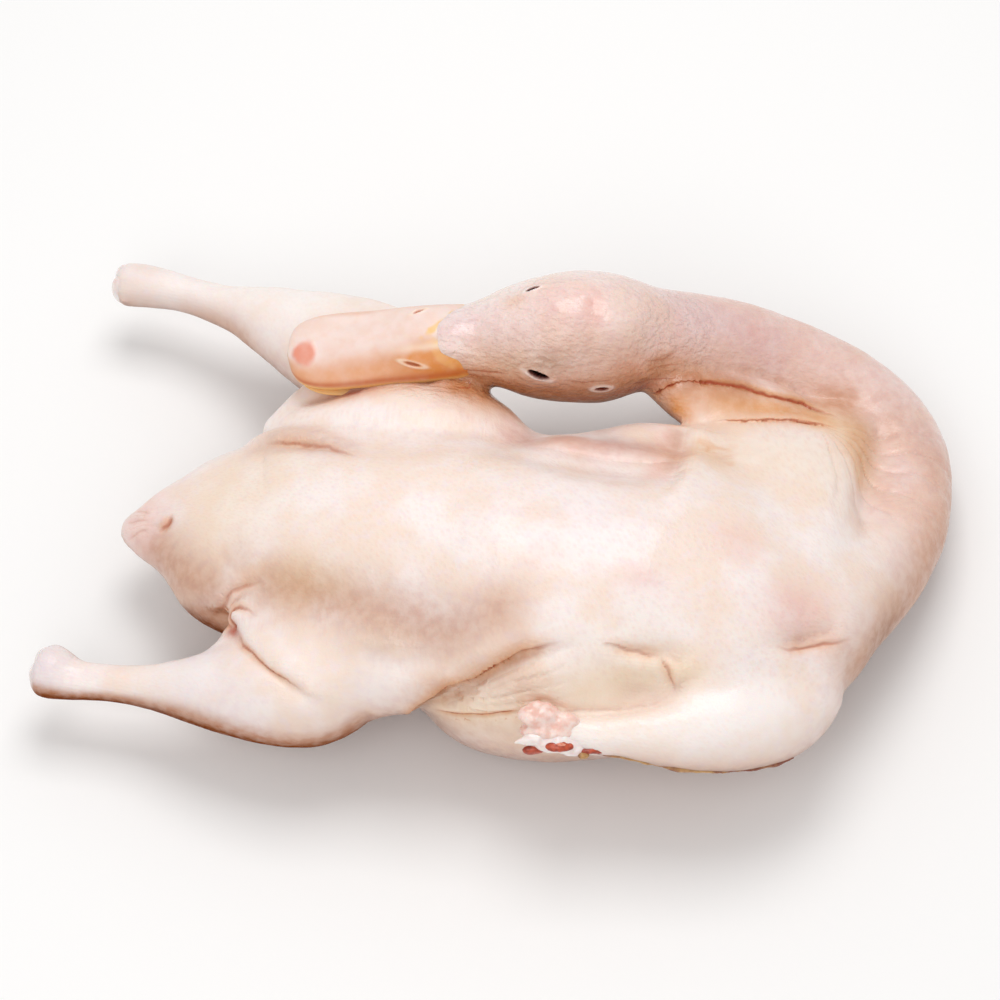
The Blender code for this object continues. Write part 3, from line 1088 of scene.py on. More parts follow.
LOOSE_SKIN = ((8, 42, 74), (24, 40, 75), (40, 40, 75), (55, 41, 74), (66, 43, 73))
OIL_GLAND = ((-124, -5, 44), (-121, -2, 46), (-119, 2, 47))
QUILLS = (
    ((-139, 1, 36), (-133, 1, 40), (-128, 0, 43)),
    ((-137, -6, 36), (-132, -4, 40), (-127, -3, 43)),
    ((-138, 7, 36), (-133, 5, 40), (-128, 3, 43)),
)
WEB_EDGE = ((66, 70, 58), (67, 58, 66), (67, 46, 72), (67, 33, 79), (65, 21, 86), (58, 10, 91))
NECK_LINE = (
    (46, 91, 53), (54, 90, 55), (67, 92, 58), (82, 96, 55), (94, 96, 52), (106, 98, 46),
    (118, 95, 44), (123, 90, 45),
)
ROLL_LINE = (
    (74, 77, 50), (79, 78, 50), (85, 78, 51), (94, 81, 50), (104, 85, 49), (112, 85, 48),
    (122, 87, 46),
)
MOUTH_LINE = ((-25, 67, 71), (-18, 69, 69), (-10, 72, 70), (-2, 74, 69))
MOUTH_CORNER = Band(((-38, 68, 61), (-27, 69, 62), (-16, 70, 62)), 5, 0.85)
CHEEK_LINE = ((-17, 72, 64), (-8, 74, 62), (2, 76, 60), (12, 78, 56))
UNDER_EYE = ((-16, 68, 70), (-6, 71, 66), (6, 74, 65), (18, 76, 63))
BEFORE_EYE = ((-24, 70, 71), (-14, 71.5, 73), (-3, 73, 74.5))
BEHIND_EYE = ((14, 75, 73), (24, 76, 71), (36, 80, 71))
NAPE = ((44, 88, 74), (52, 92, 70), (58, 98, 71))
JAW = ((38, 80, 66), (48, 88, 62), (60, 92, 60))
OVER_JAW = ((36, 84, 71), (48, 91, 68), (62, 96, 64))
WEB_FRECKLES = Spot((77, 52, 67), (10, 17, 12), 0.6)
NECK_MIDDLE = NECK.middle(3)


class Assembly:
    """A sub-assembly: it builds its pieces and dresses them, all in one finish if it says no more."""

    finish: "RawSkin | BillHorn | PlainFinish"

    def build(self) -> list[Piece]:
        """Makes the pieces."""
        raise NotImplementedError

    def dress(self, pieces: list[Piece]) -> None:
        """Gives every piece the same material.

        Args:
            pieces: what the assembly built.
        """
        material = self.finish.material()
        for piece in pieces:
            piece.data.materials.clear()
            piece.data.materials.append(material)


@dataclass
class DuckSkin(Assembly):
    """The plucked skin of trunk, legs, wings, neck and head, as one closed surface."""

    finish = RawSkin()
    voxel: float = 1.9
    softening_rounds: int = 41
    softening_share: float = 0.6
    firm_share: float = 0.06
    head_reach: float = 28.0
    crease_reach: float = 3.0
    pleats_middle: Point = (12, -6, -2)  # from the apex of the neck's pleats
    pleats_reach: float = 36.0
    tubes: tuple[Tube, ...] = (
        TRUNK, RIGHT_THIGH, RIGHT_DRUMSTICK, LEFT_THIGH, LEFT_DRUMSTICK, RIGHT_WING, LEFT_WING,
        NECK, NECK_SKIN, NECK_FOLD, HEAD,
    )
    folds: tuple[Fold, ...] = (
        Fold(THIGH_FRONT, 4.2, 4.2, 2.4, 9, fade=(0, 0.5)),
        Fold(KNEE, 2.2, 3.6, 1.2, 6, fade=(0, 0)),
        Fold(TAIL_RIGHT, 3.4, 3.4, 2.2, 4.5, fade=(0.3, 0)),
        Fold(TAIL_LEFT, 2.4, 4, 1.5, 6, fade=(0, 0.4)),
        Fold(WING_TOP, 1.6, 3.6, 0.6, 6, fade=(0.3, 0)),
        Fold(ARMPIT, 2.2, 3.6, 1.2, 6, fade=(0.2, 0.5)),
        Fold(SHOULDER, 2.0, 4, 1, 6, fade=(0.1, 0.5)),
        Fold(WEB_EDGE, 1.0, 3.5, 2.4, 5.5, fade=(0.05, 0.35)),
    )
    swellings: tuple = (
        Spot((66, -51, 70), (15, 8, 14), -2),
        Spot((-17, -60, 38), (13, 12, 15), -6),
        Spot((38, 34, 82), (30, 14, 18), -8),
        Spot((-42, -42, 70), (40, 9, 14), -2.5),
        Spot((-50, 30, 74), (26, 9, 14), -2.5),
        Spot((126, -22, 66), (14, 9, 12), -2),
        Band(((-90, 59, 60), (-64, 62, 61), (-44, 65, 61), (-34, 68, 61)), 8.5, -7.2),
        Spot((-104, -26, 38), (18, 12, 16), 3.6),
        Spot((-84, 36, 46), (14, 10, 16), 3.0),
        Spot((10, 93, 95), (11, 13, 10), 0.9),
        Spot((24, 92, 92), (5, 14, 10), -1.0),
        Spot((36, 90, 89), (8, 10, 9), 1.2),
        Spot((49, 95, 83), (6, 13, 12), -1.2),
    )
    creases: tuple[Fold, ...] = (
        # right thigh over the flank, and the flank's own
        Fold(THIGH_LINE, 1.5, 1.4, 0.5, 2.6, line_shade=1.0, line=1.1, fade=(0.06, 0.3)),
        Fold(FLANK_LINE, 0.8, 1.2, 0.3, 2.5, line_shade=0.75, line=0.4, layer=1, fade=(0.2, 0.2)),
        # wing over the flank, and the armpit
        Fold(WING_LINE, 0.6, 2.0, 0.3, 3, line_shade=0.15, line=0.7, layer=2, fade=(0.2, 0.2)),
        Fold(ARMPIT_LINE, 1.1, 2.0, 0.6, 3.5, line_shade=0.4, line=0.9, fade=(0.35, 0.35)),
        Fold(ARMPIT_CURL, 1.4, 1.7, 0.8, 3, line_shade=0.4, line=0.7, layer=3, fade=(0.35, 0.35)),
        # shoulder, knee, tail, rump
        Fold(SHOULDER_LINE, 1.0, 1.8, line_shade=0.6, line=0.8, layer=1, fade=(0.4, 0.4)),
        Fold(KNEE_LINE, 0.8, 1.6, 0.4, 3.5, line_shade=0.6, line=0.6),
        Fold(TAIL_OUTER, 1.1, 1.7, 0.7, 3.5, line_shade=0.4, line=0.8, layer=2, fade=(0.35, 0.1)),
        Fold(TAIL_INNER, 1.3, 1.6, 0.7, 3.5, line_shade=0.7, line=0.7, layer=1, fade=(0.05, 0.5)),
        Fold(HIP_LINE, 0.9, 1.8, 0.4, 3.5, line_shade=0.45, line=0.8),
        Fold(RUMP_LINE, 0.5, 3.0, 0.2, 5, line_shade=0.05, line=1.2, layer=1, fade=(0.35, 0.35)),
        # loose skin between back and neck
        Fold(LOOSE_SKIN, 0.8, 3.0, 0.4, 5, fade=(0.3, 0.2)),
        Fold(NECK_LINE, 1.4, 1.7, 0.4, 3, line_shade=1.0, line=0.75, layer=2, fade=(0.12, 0.25)),
        Fold(ROLL_LINE, 1.2, 1.6, 0.8, 3.5, line_shade=0.8, line=0.5, fade=(0.2, 0.25)),
        # tail: the oil gland, and the creases between the quills
        Fold(OIL_GLAND, 1.3, 1.5, 0.8, 3, line_shade=0.6, line=0.8, layer=2, fade=(0.35, 0.35)),
        Fold(QUILLS[0], 0.6, 1.2, line_shade=0.15, layer=3),
        Fold(QUILLS[1], 0.5, 1.2, line_shade=0.15, layer=3),
        Fold(QUILLS[2], 0.5, 1.2, line_shade=0.15, layer=3),
        # cheek and nape
        Fold(MOUTH_LINE, 0.9, 1.0, 0.4, 2, line_shade=0.7, line=0.45, layer=1, fade=(0.2, 0.2)),
        Fold(BEFORE_EYE, 0.5, 1.3, 0.3, 2, line_shade=0.6, line=0.6, fade=(0.2, 0.3)),
        Fold(BEHIND_EYE, 0.4, 1.4, 0.3, 2, line_shade=0.35, line=0.6),
        Fold(NAPE, 0.5, 1.6, 0.3, 2.5, line_shade=0.3, line=0.7, layer=1),
        Fold(CHEEK_LINE, 0.7, 1.2, 0.3, 2, line_shade=0.5, line=0.5, layer=3),
        Fold(UNDER_EYE, 0.5, 1.2, line_shade=0.3, line=0.5, layer=2),
        Fold(JAW, 0.3, 1.2, line_shade=0.5, line=0.4, layer=3),
        Fold(OVER_JAW, 0.2, 1.2, line_shade=0.3, line=0.35),
    )
    fans: tuple[Fan, ...] = (
        Fan((114, 86, 47.5), (30, 10, -6), (14, -48, 14), 6, 74, 1.0),
        Fan((-14, -66, 52), (30, 2, 6), (24, 8, 20), 6, 66, 0.95),
        Fan((-143, 0, 38), (20, 12, 10), (20, -12, 8), 6, 26, 0.35),
        Fan((122, -45, 30), (-10, -14, 22), (-20, 4, 14), 7, 20, 0.25),
    )
    ripples: tuple[Ripple, ...] = (
        Ripple((7, 75.5, 75), 2.8, 9, 0.16),
        Ripple((-3, 99, 92), 2.8, 7, 0.12),
        Ripple((30.5, 79.5, 67), 2.6, 6, 0.14),
    )

    def flesh_weight(self, points: Array) -> Array:
        """How far the flesh runs together: fully on the trunk, hardly where bone is near.

        Args:
            points: places on the fused skin.

        Returns:
            How far each point moves towards its neighbours in a round of softening.
        """
        legs = ramp(points[:, 0], -112, -70)
        beside = 1 - ramp(points[:, 1], 78, 100)
        high = np.where(points[:, 0] < 60, 1 - ramp(points[:, 1], 56, 70), 1)
        wing = 1 - 0.75 * Band(RIGHT_WING.middle(2), 17).at(points)
        weight = np.minimum.reduce([legs, beside, high, wing])
        for fold in self.folds:
            weight = np.minimum(weight, 1 - 0.7 * Band(fold.path, 8).at(points))
        return self.firm_share + self.softening_share * weight

    def build(self) -> list[Piece]:
        """Fuses the tubes, relaxes them and works the relief into the surface.

        Returns:
            The skin, as the only piece.
        """
        skin = new_piece("duck_skin", [tube.surface() for tube in self.tubes])
        fuse(skin, self.voxel)
        mesh = skin.data
        points = coordinates(mesh)
        points = relaxed(points, edge_pairs(mesh), self.flesh_weight(points), self.softening_rounds)
        put_back(mesh, points)
        self.add_form(mesh)
        self.add_detail(mesh, self.refined(mesh))
        return [skin]

    def add_form(self, mesh: Mesh) -> None:
        """Pushes the broad folds and hollows into the relaxed surface.

        Args:
            mesh: the skin.
        """
        points, normals = coordinates(mesh), vertex_normals(mesh)
        work = SkinWork.empty(len(points))
        for fold in self.folds:
            fold.apply(points, normals, work)
        height = work.height + sum(swelling.at(points) for swelling in self.swellings)
        points = points + normals * height[:, None]
        put_back(mesh, relaxed(points, edge_pairs(mesh), np.full(len(points), 0.25), 3))

    def refined(self, mesh: Mesh) -> Array:
        """Refines head, creases and pleats once, and the eyes and ears again, and evens the mesh out.

        Args:
            mesh: the skin.

        Returns:
            Its points.
        """
        points = coordinates(mesh)
        close = Band(HEAD.middle(), self.head_reach).within(points)
        for crease in self.creases:
            close |= Band(crease.path, self.crease_reach).within(points)
        pleats = self.fans[0].apex + np.array(self.pleats_middle)
        close |= np.linalg.norm(points - pleats, axis=1) < self.pleats_reach
        refine(mesh, close)
        points = coordinates(mesh)
        refine(mesh, np.logical_or.reduce([opening.reaches(points) for opening in EYES + EARS]))
        points = coordinates(mesh)
        points = relaxed(points, edge_pairs(mesh), np.full(len(points), 0.3), 3)
        put_back(mesh, points)
        return points

    def add_detail(self, mesh: Mesh, points: Array) -> None:
        """Works small relief and colour into the skin.

        Args:
            mesh: the refined skin.
            points: its points.
        """
        pairs, normals = edge_pairs(mesh), vertex_normals(mesh)
        # cavity paints shade in valleys, except along the web's edge
        cavity = self.cavity(points, pairs, normals) * (1 - Band(WEB_EDGE, 12, 0.8).at(points))
        work = SkinWork.empty(len(points))
        for crease in self.creases:
            crease.apply(points, normals, work)
        height = work.height + 0.4 * skin_noise(points, 19, 1) + 0.16 * skin_noise(points, 6, 2)
        pleats = sum(fan.at(points) for fan in self.fans)
        height += pleats + sum(ripple.at(points) for ripple in self.ripples)
        height += 0.15 * BILL_LINE.rim(points) - 3.2 * BILL_LINE.beyond(points)
        # dark: painted shade inside the eye and ear slits; pale: the lids' pale rings, partly painted light
        dark, pale = np.zeros((2, len(points)))
        for opening in EYES + EARS:
            rise, inside, lid = opening.relief(points)
            height += rise
            dark, pale = np.maximum(dark, opening.inside_shade * inside), np.maximum(pale, lid)
        points = points + normals * height[:, None]
        points = relaxed(points, pairs, MOUTH_CORNER.at(points), 14)
        points[:, 2] = np.maximum(points[:, 2], 0)
        put_back(mesh, points)
        # painted shade in the slits and in the pleats' valleys, painted light on the lids, and the web's
        # own orange freckles
        marks = {
            Tone.HOLLOW: dark,
            Tone.PALE: pale,
            Tone.SHADE: -0.25 * pleats,
            Tone.ORANGE: WEB_FRECKLES.at(points) * ramp(skin_noise(points, 4, 88), 0.1, 0.5),
            Tone.CREASE: 1.6 * dark,
        }
        self.paint(mesh, points, normals, cavity, marks)
        for layer in range(SkinWork.LAYERS):
            set_attribute(mesh, f"line_side_{layer}", work.side[layer])
            set_attribute(mesh, f"line_share_{layer}", work.share[layer])
        self.lay_rows(mesh, points)

    def lay_rows(self, mesh: Mesh, points: Array) -> None:
        """Stores each point's way along and round its limb, and how plainly follicles show there.

        Args:
            mesh: the skin.
            points: its points.
        """
        rows = np.stack([np.stack(limb.rows(points)) for limb in LIMBS])
        nearest = rows[:, 0].argmin(axis=0)
        each = np.arange(len(points))
        near, next_near = np.sort(rows[:, 0], axis=0)[:2]
        follicles = np.array([limb.follicles for limb in LIMBS])[nearest]
        pebbled = np.array([limb.pebbled for limb in LIMBS])[nearest]
        head = ramp(Band(HEAD.middle(), 30).at(points), 0.3, 0.6)
        neck = Band(NECK_MIDDLE, 26, 0.6).at(points)
        set_attribute(mesh, "row_along", rows[nearest, 1, each])
        set_attribute(mesh, "row_around", rows[nearest, 2, each])
        set_attribute(mesh, "row_share", ramp(next_near - near, 0.04, 0.22) * follicles)
        set_attribute(mesh, "crinkle", np.maximum(head, neck) * pebbled)

    def cavity(self, points: Array, pairs: Array, normals: Array) -> Array:
        """How deep in a valley each point lies: how far out the skin moves when it is relaxed.

        Args:
            points: places on the skin.
            pairs: the mesh's edges.
            normals: the skin's normals.

        Returns:
            0 on flat skin and towards 1 in valleys.
        """
        smooth = relaxed(points, pairs, np.full(len(points), 0.8), 30)
        return ramp(np.einsum("ij,ij->i", smooth - points, normals), 0.1, 1.6)

    def under_leg(self, points: Array, normals: Array) -> tuple[Array, Array]:
        """The painted shade and the painted dark rim of shadow on the near leg's underside.

        Both follow the normal's upward part, come in lower on the thigh than on the shank, and
        fade again where the skin faces the table.

        Args:
            points: places on the skin.
            normals: the skin's normals.

        Returns:
            How strong the painted shade and the painted dark rim are.
        """
        level = normals[:, 2]
        thigh = ramp(points[:, 0], -105, -55)
        leg = (1 - ramp(points[:, 1], -40, -20)) * (1 - ramp(points[:, 0], -38, -14))
        leg = leg * (1 - 0.85 * ramp(-normals[:, 0], 0.45, 0.8))
        low = 0.9 * leg * (1 - ramp(level + 0.3 * thigh, 0.14, 0.68))
        low = low * (1 - 0.5 * ramp(-level, 0.35, 0.75))
        below = 1 - 0.85 * ramp(-level, 0.5, 0.8)
        return low, 0.82 * leg * below * (1 - ramp(level + 0.25 * thigh, -0.18, 0.26))

    def paint(self, mesh: Mesh, points: Array, normals: Array, cavity: Array, marks: dict) -> None:
        """Stores how much of each tone every point takes: the most that anything there asks for.

        Args:
            mesh: the skin.
            points: its points.
            normals: its normals before the detail.
            cavity: how deep in a valley each point lies.
            marks: what the detail adds to some tones.
        """
        # painted shade in valleys and on skin that faces down, and a painted dark rim of shadow under the
        # near leg
        down = -normals[:, 2]
        shade, dark = self.under_leg(points, normals)
        everywhere = {
            Tone.SHADE: np.maximum.reduce([0.5 * cavity, shade, 0.42 * ramp(down, -0.62, 0.25)]),
            Tone.UNDER: np.maximum(dark, 0.5 * ramp(down, -0.1, 0.6)) * (points[:, 2] > 1),
        }
        for tone in Tone:
            amount = np.maximum(everywhere.get(tone, 0), marks.get(tone, np.zeros(len(points))))
            for mark in SKIN_TONES.get(tone, ()):
                amount = np.maximum(amount, mark.at(points))
            set_attribute(mesh, tone.attribute, amount)


WEB_CORNER = ((104, 97, 49), (121, 105, 42), (131, 88, 43), (128, 75, 46))
LOOSE_HOLLOW = ((4, 50, 68), (30, 46, 72), (62, 50, 68))
FAR_SHANK = ((-92, 88, 34), (-121, 97, 36), (-140, 104, 32))
SKIN_TONES = {
    Tone.FAT: (
        Spot((82, -44, 72), (9, 7, 6), 0.5),
        Band(((0, -62, 52), (30, -62, 60), (66, -48, 70)), 14, 0.5),
        Spot((-92, 2, 62), (24, 26, 14), 0.3),
        Band(((76, 60, 60), (96, 60, 58), (120, 60, 56)), 20, 0.3),
        Band(((112, 92, 46), (126, 88, 45), (132, 70, 48)), 11, 0.6),
        Spot((-60, -30, 70), (24, 10, 10), 0.45),
        Spot((76, 50, 66), (8, 20, 10), 0.4),
        # painted highlight along the web's edge
        Band(((71, 64, 61), (71, 50, 70), (71, 36, 77)), 4, 0.5),
    ),
    # the roll's own orange, and painted shade: on the cheek, under jaw and neck, in the tail's groove and
    # pocket, where the thigh meets the bill, on the far shank, round the web's corner and along the neck's
    # outer bend
    Tone.ORANGE: (
        Band(((52, 90, 54), (64, 89, 54), (80, 87, 53), (100, 90, 49), (112, 89, 46)), 9, 0.82),
        Band(((-82, -29, 59), (-90, -34, 48), (-88, -38, 40)), 4.5, 0.5),
        Spot((-86, -42, 48), (4, 4, 5), 0.7),
        Spot((130, -16, 62), (9, 6, 6), 0.3),
        Band(((-22, 68, 64), (0, 72, 62), (22, 77, 60), (36, 83, 58)), 12, 0.75),
        Spot((60, 81, 56), (9, 9, 8), 0.9),
        Band(((-74, 59, 58), (-62, 59, 62), (-52, 60, 64), (-40, 63, 65)), 5.5, 0.4),
        Band(((-16, 72, 73), (6, 75, 71), (24, 78, 71), (40, 84, 70)), 9, 0.5),
        Band(FAR_SHANK, 8, 0.35),
        Spot((-6, 95, 88), (6, 4, 4), 0.35),
        Band(((20, 77, 60), (37, 81, 66), (51, 90, 68), (67, 93, 60)), 8, 0.55),
        Band(WEB_CORNER, 9, 0.4),
        Band(((144, -10, 46), (154, 10, 44), (164, 44, 36), (168, 70, 26)), 15, 0.28),
        Spot((-14, 70, 73), (10, 6, 6), 0.4),
        Spot((-112, -26, 36), (20, 10, 12), 0.3),
        Spot((78, 52, 66), (6, 14, 7), 0.2),
        Spot((62, 44, 68), (8, 16, 12), 0.2),
    ),
    # painted light on the top of the near wing and of both drumsticks
    Tone.PALE: (
        Band(((52, -68, 62), (80, -60, 68), (110, -50, 62)), 12, 0.6),
        Band(((-112, -64, 42), (-92, -64, 52)), 9, 0.5),
        Band(((-146, 114, 42), (-110, 110, 50), (-84, 100, 60)), 12, 0.75),
    ),
    Tone.BLUSH: (
        Spot((119, -12, 74), (18, 12, 10), 0.45),
        Spot((61, -18, 91), (10, 6, 6), 0.25),
        Spot((24, -17, 92), (8, 5, 5), 0.2),
        Spot((93, 6, 87), (10, 9, 8), 0.28),
        Spot((24, 94, 93), (6, 12, 8), 0.65),
        Spot((8, 84, 89), (12, 6, 6), 0.35),
        Spot((-2, 88, 86), (16, 14, 10), 0.3),
        Spot((42, 84, 72), (12, 9, 10), 0.55),
        Spot((-26, 70, 64), (8, 4, 4), 0.85),
        Spot((-129, 0, 38), (13, 18, 10), 0.4),
        Band(NECK_MIDDLE, 25, 0.55),
        Spot((14, 92, 94), (26, 18, 14), 0.42),
        Band(((-30, 82, 84), (-12, 87, 87)), 12, 0.3),
        Band(LOOSE_HOLLOW, 9, 0.4),
        # painted shade in the basin left of the web's edge
        Band(((59, 62, 61), (60, 48, 70), (59, 34, 78)), 6, 0.4),
        Spot((85, 118, 61), (14, 10, 8), 0.5),
        Spot((40, 84, 62), (14, 8, 10), 0.5),
        Spot((-22, 68, 66), (7, 5, 5), 0.6),
        Spot((4, 74, 66), (18, 8, 8), 0.45),
    ),
    Tone.LILAC: (
        Spot((-92, -62, 46), (26, 16, 12), 0.4),
        Spot((-154, -64, 36), (10, 12, 8), 0.5),
        Spot((-150, 113, 38), (40, 14, 10), 0.25),
        Spot((56, 96, 70), (22, 14, 14), 0.4),
        Spot((40, 0, 93), (34, 18, 10), 0.2),
        Spot((-26, 84, 84), (10, 10, 6), 0.3),
        Band(((56, 112, 72), (74, 116, 66), (92, 116, 58)), 10, 0.5),
    ),
    # painted shade: grey-brown in the thigh's valley, above the near eye and by the ear
    Tone.SALLOW: (
        Spot((-24, -50, 72), (20, 9, 9), 0.26),
        Spot((9, 77, 79), (8, 5, 5), 0.65),
        Spot((2, 74, 77), (12, 6, 7), 0.3),
        Spot((-4, 74, 75), (6, 4, 5), 0.35),
        Spot((30, 79, 67), (6, 4, 5), 0.25),
    ),
    # painted shade: the rump's and thigh's valleys, the tail's underside, the hip, the neck's bend and
    # underside, cheek, far shank and the basin left of the web's edge
    Tone.SHADE: (
        Band(((-73, -31, 64), (-49, -36, 69), (-22, -40, 73), (-4, -46, 76), (14, -38, 84)), 12, 0.52),
        Band(((-122, -14, 42), (-108, -24, 48), (-97, -30, 52)), 12, 0.6),
        Spot((25, -58, 68), (14, 8, 12), 0.3),
        Band(((-90, -22, 61), (-80, -26, 63)), 9, 0.3),
        Spot((-27, -50, 71), (16, 9, 8), 0.25),
        Band(((-92, 34, 58), (-77, 34, 64), (-60, 30, 72)), 8, 0.34),
        Band(((-4, -62, 60), (8, -54, 72), (22, -46, 82)), 8, 0.3),
        Band(NECK_MIDDLE, 25, 0.29),
        Band(((142, -16, 46), (152, 3, 44), (162, 37, 36), (168, 64, 26), (166, 90, 20)), 16, 0.62),
        Band(((138, 108, 34), (158, 92, 34), (166, 70, 30)), 14, 0.42),
        Band(WEB_CORNER, 9, 0.34),
        Spot((121, 106, 42), (13, 8, 8), 0.5),
        Spot((142, 102, 40), (14, 14, 10), 0.42),
        Spot((50, 90, 69), (10, 6, 6), 0.65),
        Spot((38, 81, 75), (10, 6, 6), 0.45),
        Spot((148, -4, 50), (8, 12, 8), 0.7),
        Band(((20, 77, 60), (37, 81, 64), (51, 90, 62), (67, 93, 58), (82, 96, 54)), 8, 0.7),
        Band(((-20, 69, 66), (0, 72, 64), (15, 73.4, 64), (37, 80, 67)), 12, 0.72),
        Band(((-10, 75, 78), (8, 79, 81), (25, 81, 82), (38, 87, 78)), 12, 0.42),
        Band(FAR_SHANK, 9, 0.65),
        Band(LOOSE_HOLLOW, 9, 0.3),
        Band(((62, 64, 61), (63.5, 50, 70), (63, 38, 76)), 3.5, 0.4),
        Band(((-26, -65, 46), (-14, -63, 54), (-4, -60, 63)), 8, 0.6),
    ),
    # painted shadow low on the right side by the neck
    Tone.UNDER: (Spot((150, 0, 42), (10, 18, 9), 0.3),),
    # painted shade: the tail's deep pocket, the line where thigh meets bill, the mouth's corner and the jaw
    Tone.CREASE: (
        Spot((-84, -46, 51.5), (3, 2.4, 3), 0.85),
        Band(((-74, 60, 58), (-62, 60.5, 61), (-52, 62, 63), (-40, 65.5, 64), (-30, 68.5, 64.5)), 1.9, 0.7),
        Spot((-32, 68.5, 62), (5, 2.5, 3), 0.6),
        Band(((20, 77, 58), (37, 82, 60), (50, 89, 58), (64, 92, 59)), 2.6, 0.4),
    ),
}


# ---- head


@dataclass(frozen=True)
class Opening:
    """A lidded slit in the skin, such as a closed eye, an ear or a nostril.

    Round the centre the skin swells into a lid ring and dives inside an almond that is long
    along one direction. The inside is painted dark: painted shade. The lid's pale ring lies at a
    share of the almond's size, and its upper side is paler or duller than the lower: partly the
    lid's own paler skin, partly painted light.
    """

    centre: Point
    ahead: Point
    outward: Point
    half_length: float
    half_height: float
    lid_radius: float
    lid_height: float
    depth: float
    lid_pale_and_lit: float = 0.0
    lid_at: float = 1.7
    lid_above: float = 1.0
    # how strongly the slit's inside is painted dark, as painted shade
    inside_shade: float = 1.3

    def reaches(self, points: Array) -> Array:
        """Which points lie near enough to need a finer mesh."""
        return np.linalg.norm(points - self.centre, axis=1) < 1.6 * self.lid_radius

    def relief(self, points: Array) -> tuple[Array, Array, Array]:
        """What the opening does to the skin: a bell and a ring, minus an almond.

        Args:
            points: places on the skin.

        Returns:
            Each point's height, how far it is painted dark inside (painted shade), and how far it is pale
            lid.
        """
        out = unit(np.array(self.outward, float))
        ahead = np.array(self.ahead, float)
        ahead = unit(ahead - (ahead @ out) * out)
        away = points - self.centre
        along, across = away @ ahead, away @ np.cross(out, ahead)
        facing = bell(away @ out / 7)
        almond = np.sqrt((along / self.half_length) ** 2 + (across / self.half_height) ** 2)
        ring = np.sqrt((along / 1.35) ** 2 + across**2)
        swell = self.lid_height * bell(ring / self.lid_radius)
        inside = 1 - ramp(almond, 0.6, 1.25)
        lid = bell((almond - self.lid_at) / (0.3 * self.lid_at)) * facing
        lid = lid * (1 - (1 - self.lid_above) * ramp(across, -self.half_height, self.half_height))
        height = (swell - self.depth * inside) * facing + 0.3 * lid
        return height, (1 - ramp(almond, 0.75, 1.25)) * facing, self.lid_pale_and_lit * lid


EYES = (
    Opening((7, 75.2, 75), (9, 0.5, -3.5), (0.1, -0.97, 0.2), 3.9, 1.3, 6.0, 1.2, 3.2, 0.6, 1.5, 0.1),
    Opening(
        (-0.5, 100.5, 92), (7, 2, 0.5), (-0.3, 0.35, 0.9), 2.4, 0.75, 5.0, 0.8, 2.4, 0.3, 1.5, 0.4
    ),
)
EARS = (
    Opening(
        (30.5, 78.5, 66.5), (7, 2, -0.5), (0.3, -0.95, 0.15), 2.4, 1.15, 3.6, 0.6, 1.1, 0.6, 1.6, 1, 0.75
    ),
    Opening((22, 118, 78), (7, 2, 0), (0.0, 0.95, 0.3), 2.8, 0.85, 3.2, 0.4, 2.2, 0.9, 1.7, 1.0, 0.6),
)


@dataclass(frozen=True)
class BillLine:
    """Where the skin of the face ends on the bill.

    It is a blunt V whose point lies on the forehead; on the right it steps back by the gape,
    towards the corner of the mouth.
    """

    apex_x: float = -35.5
    slope: float = 0.62
    bluntness: float = 3.0
    gape: float = 9.0
    centre: Point = (-30.0, 81.5, 72.0)
    across: Point = (0.0, 0.96, 0.28)
    end: Path = ((-20, 86.5, 71.5), (-46, 79.5, 70))
    reach: float = 19.0

    def sideways(self, points: Array) -> Array:
        """How far each point lies to the left of the middle of the forehead."""
        return (points - self.centre) @ unit(np.array(self.across))

    def past(self, points: Array) -> Array:
        """How far each point lies past the line towards the bill's tip.

        Args:
            points: places on the head.

        Returns:
            Millimetres, or -99 for points that lie nowhere near the line.
        """
        blunt = self.bluntness
        aside = self.sideways(points)
        line = self.apex_x + self.slope * (np.hypot(aside, blunt) - blunt)
        line = line + self.gape * ramp(-aside, 8.5, 12) + 0.6 * skin_noise(points, 5, 71)
        close = Band(self.end, self.reach).within(points)
        return np.where(close & (points[:, 2] > 58) & (aside > -20), line - points[:, 0], -99)

    def beyond(self, points: Array) -> Array:
        """0 on the face and 1 past the line, where the skin dives under the bill."""
        return ramp(self.past(points), -0.3, 1.8) * ramp(self.sideways(points), -13.5, -11)

    def rim(self, points: Array) -> Array:
        """A low bell along the line, for the skin's thick edge."""
        return bell((self.past(points) + 1.4) / 1.4)


BILL_LINE = BillLine()


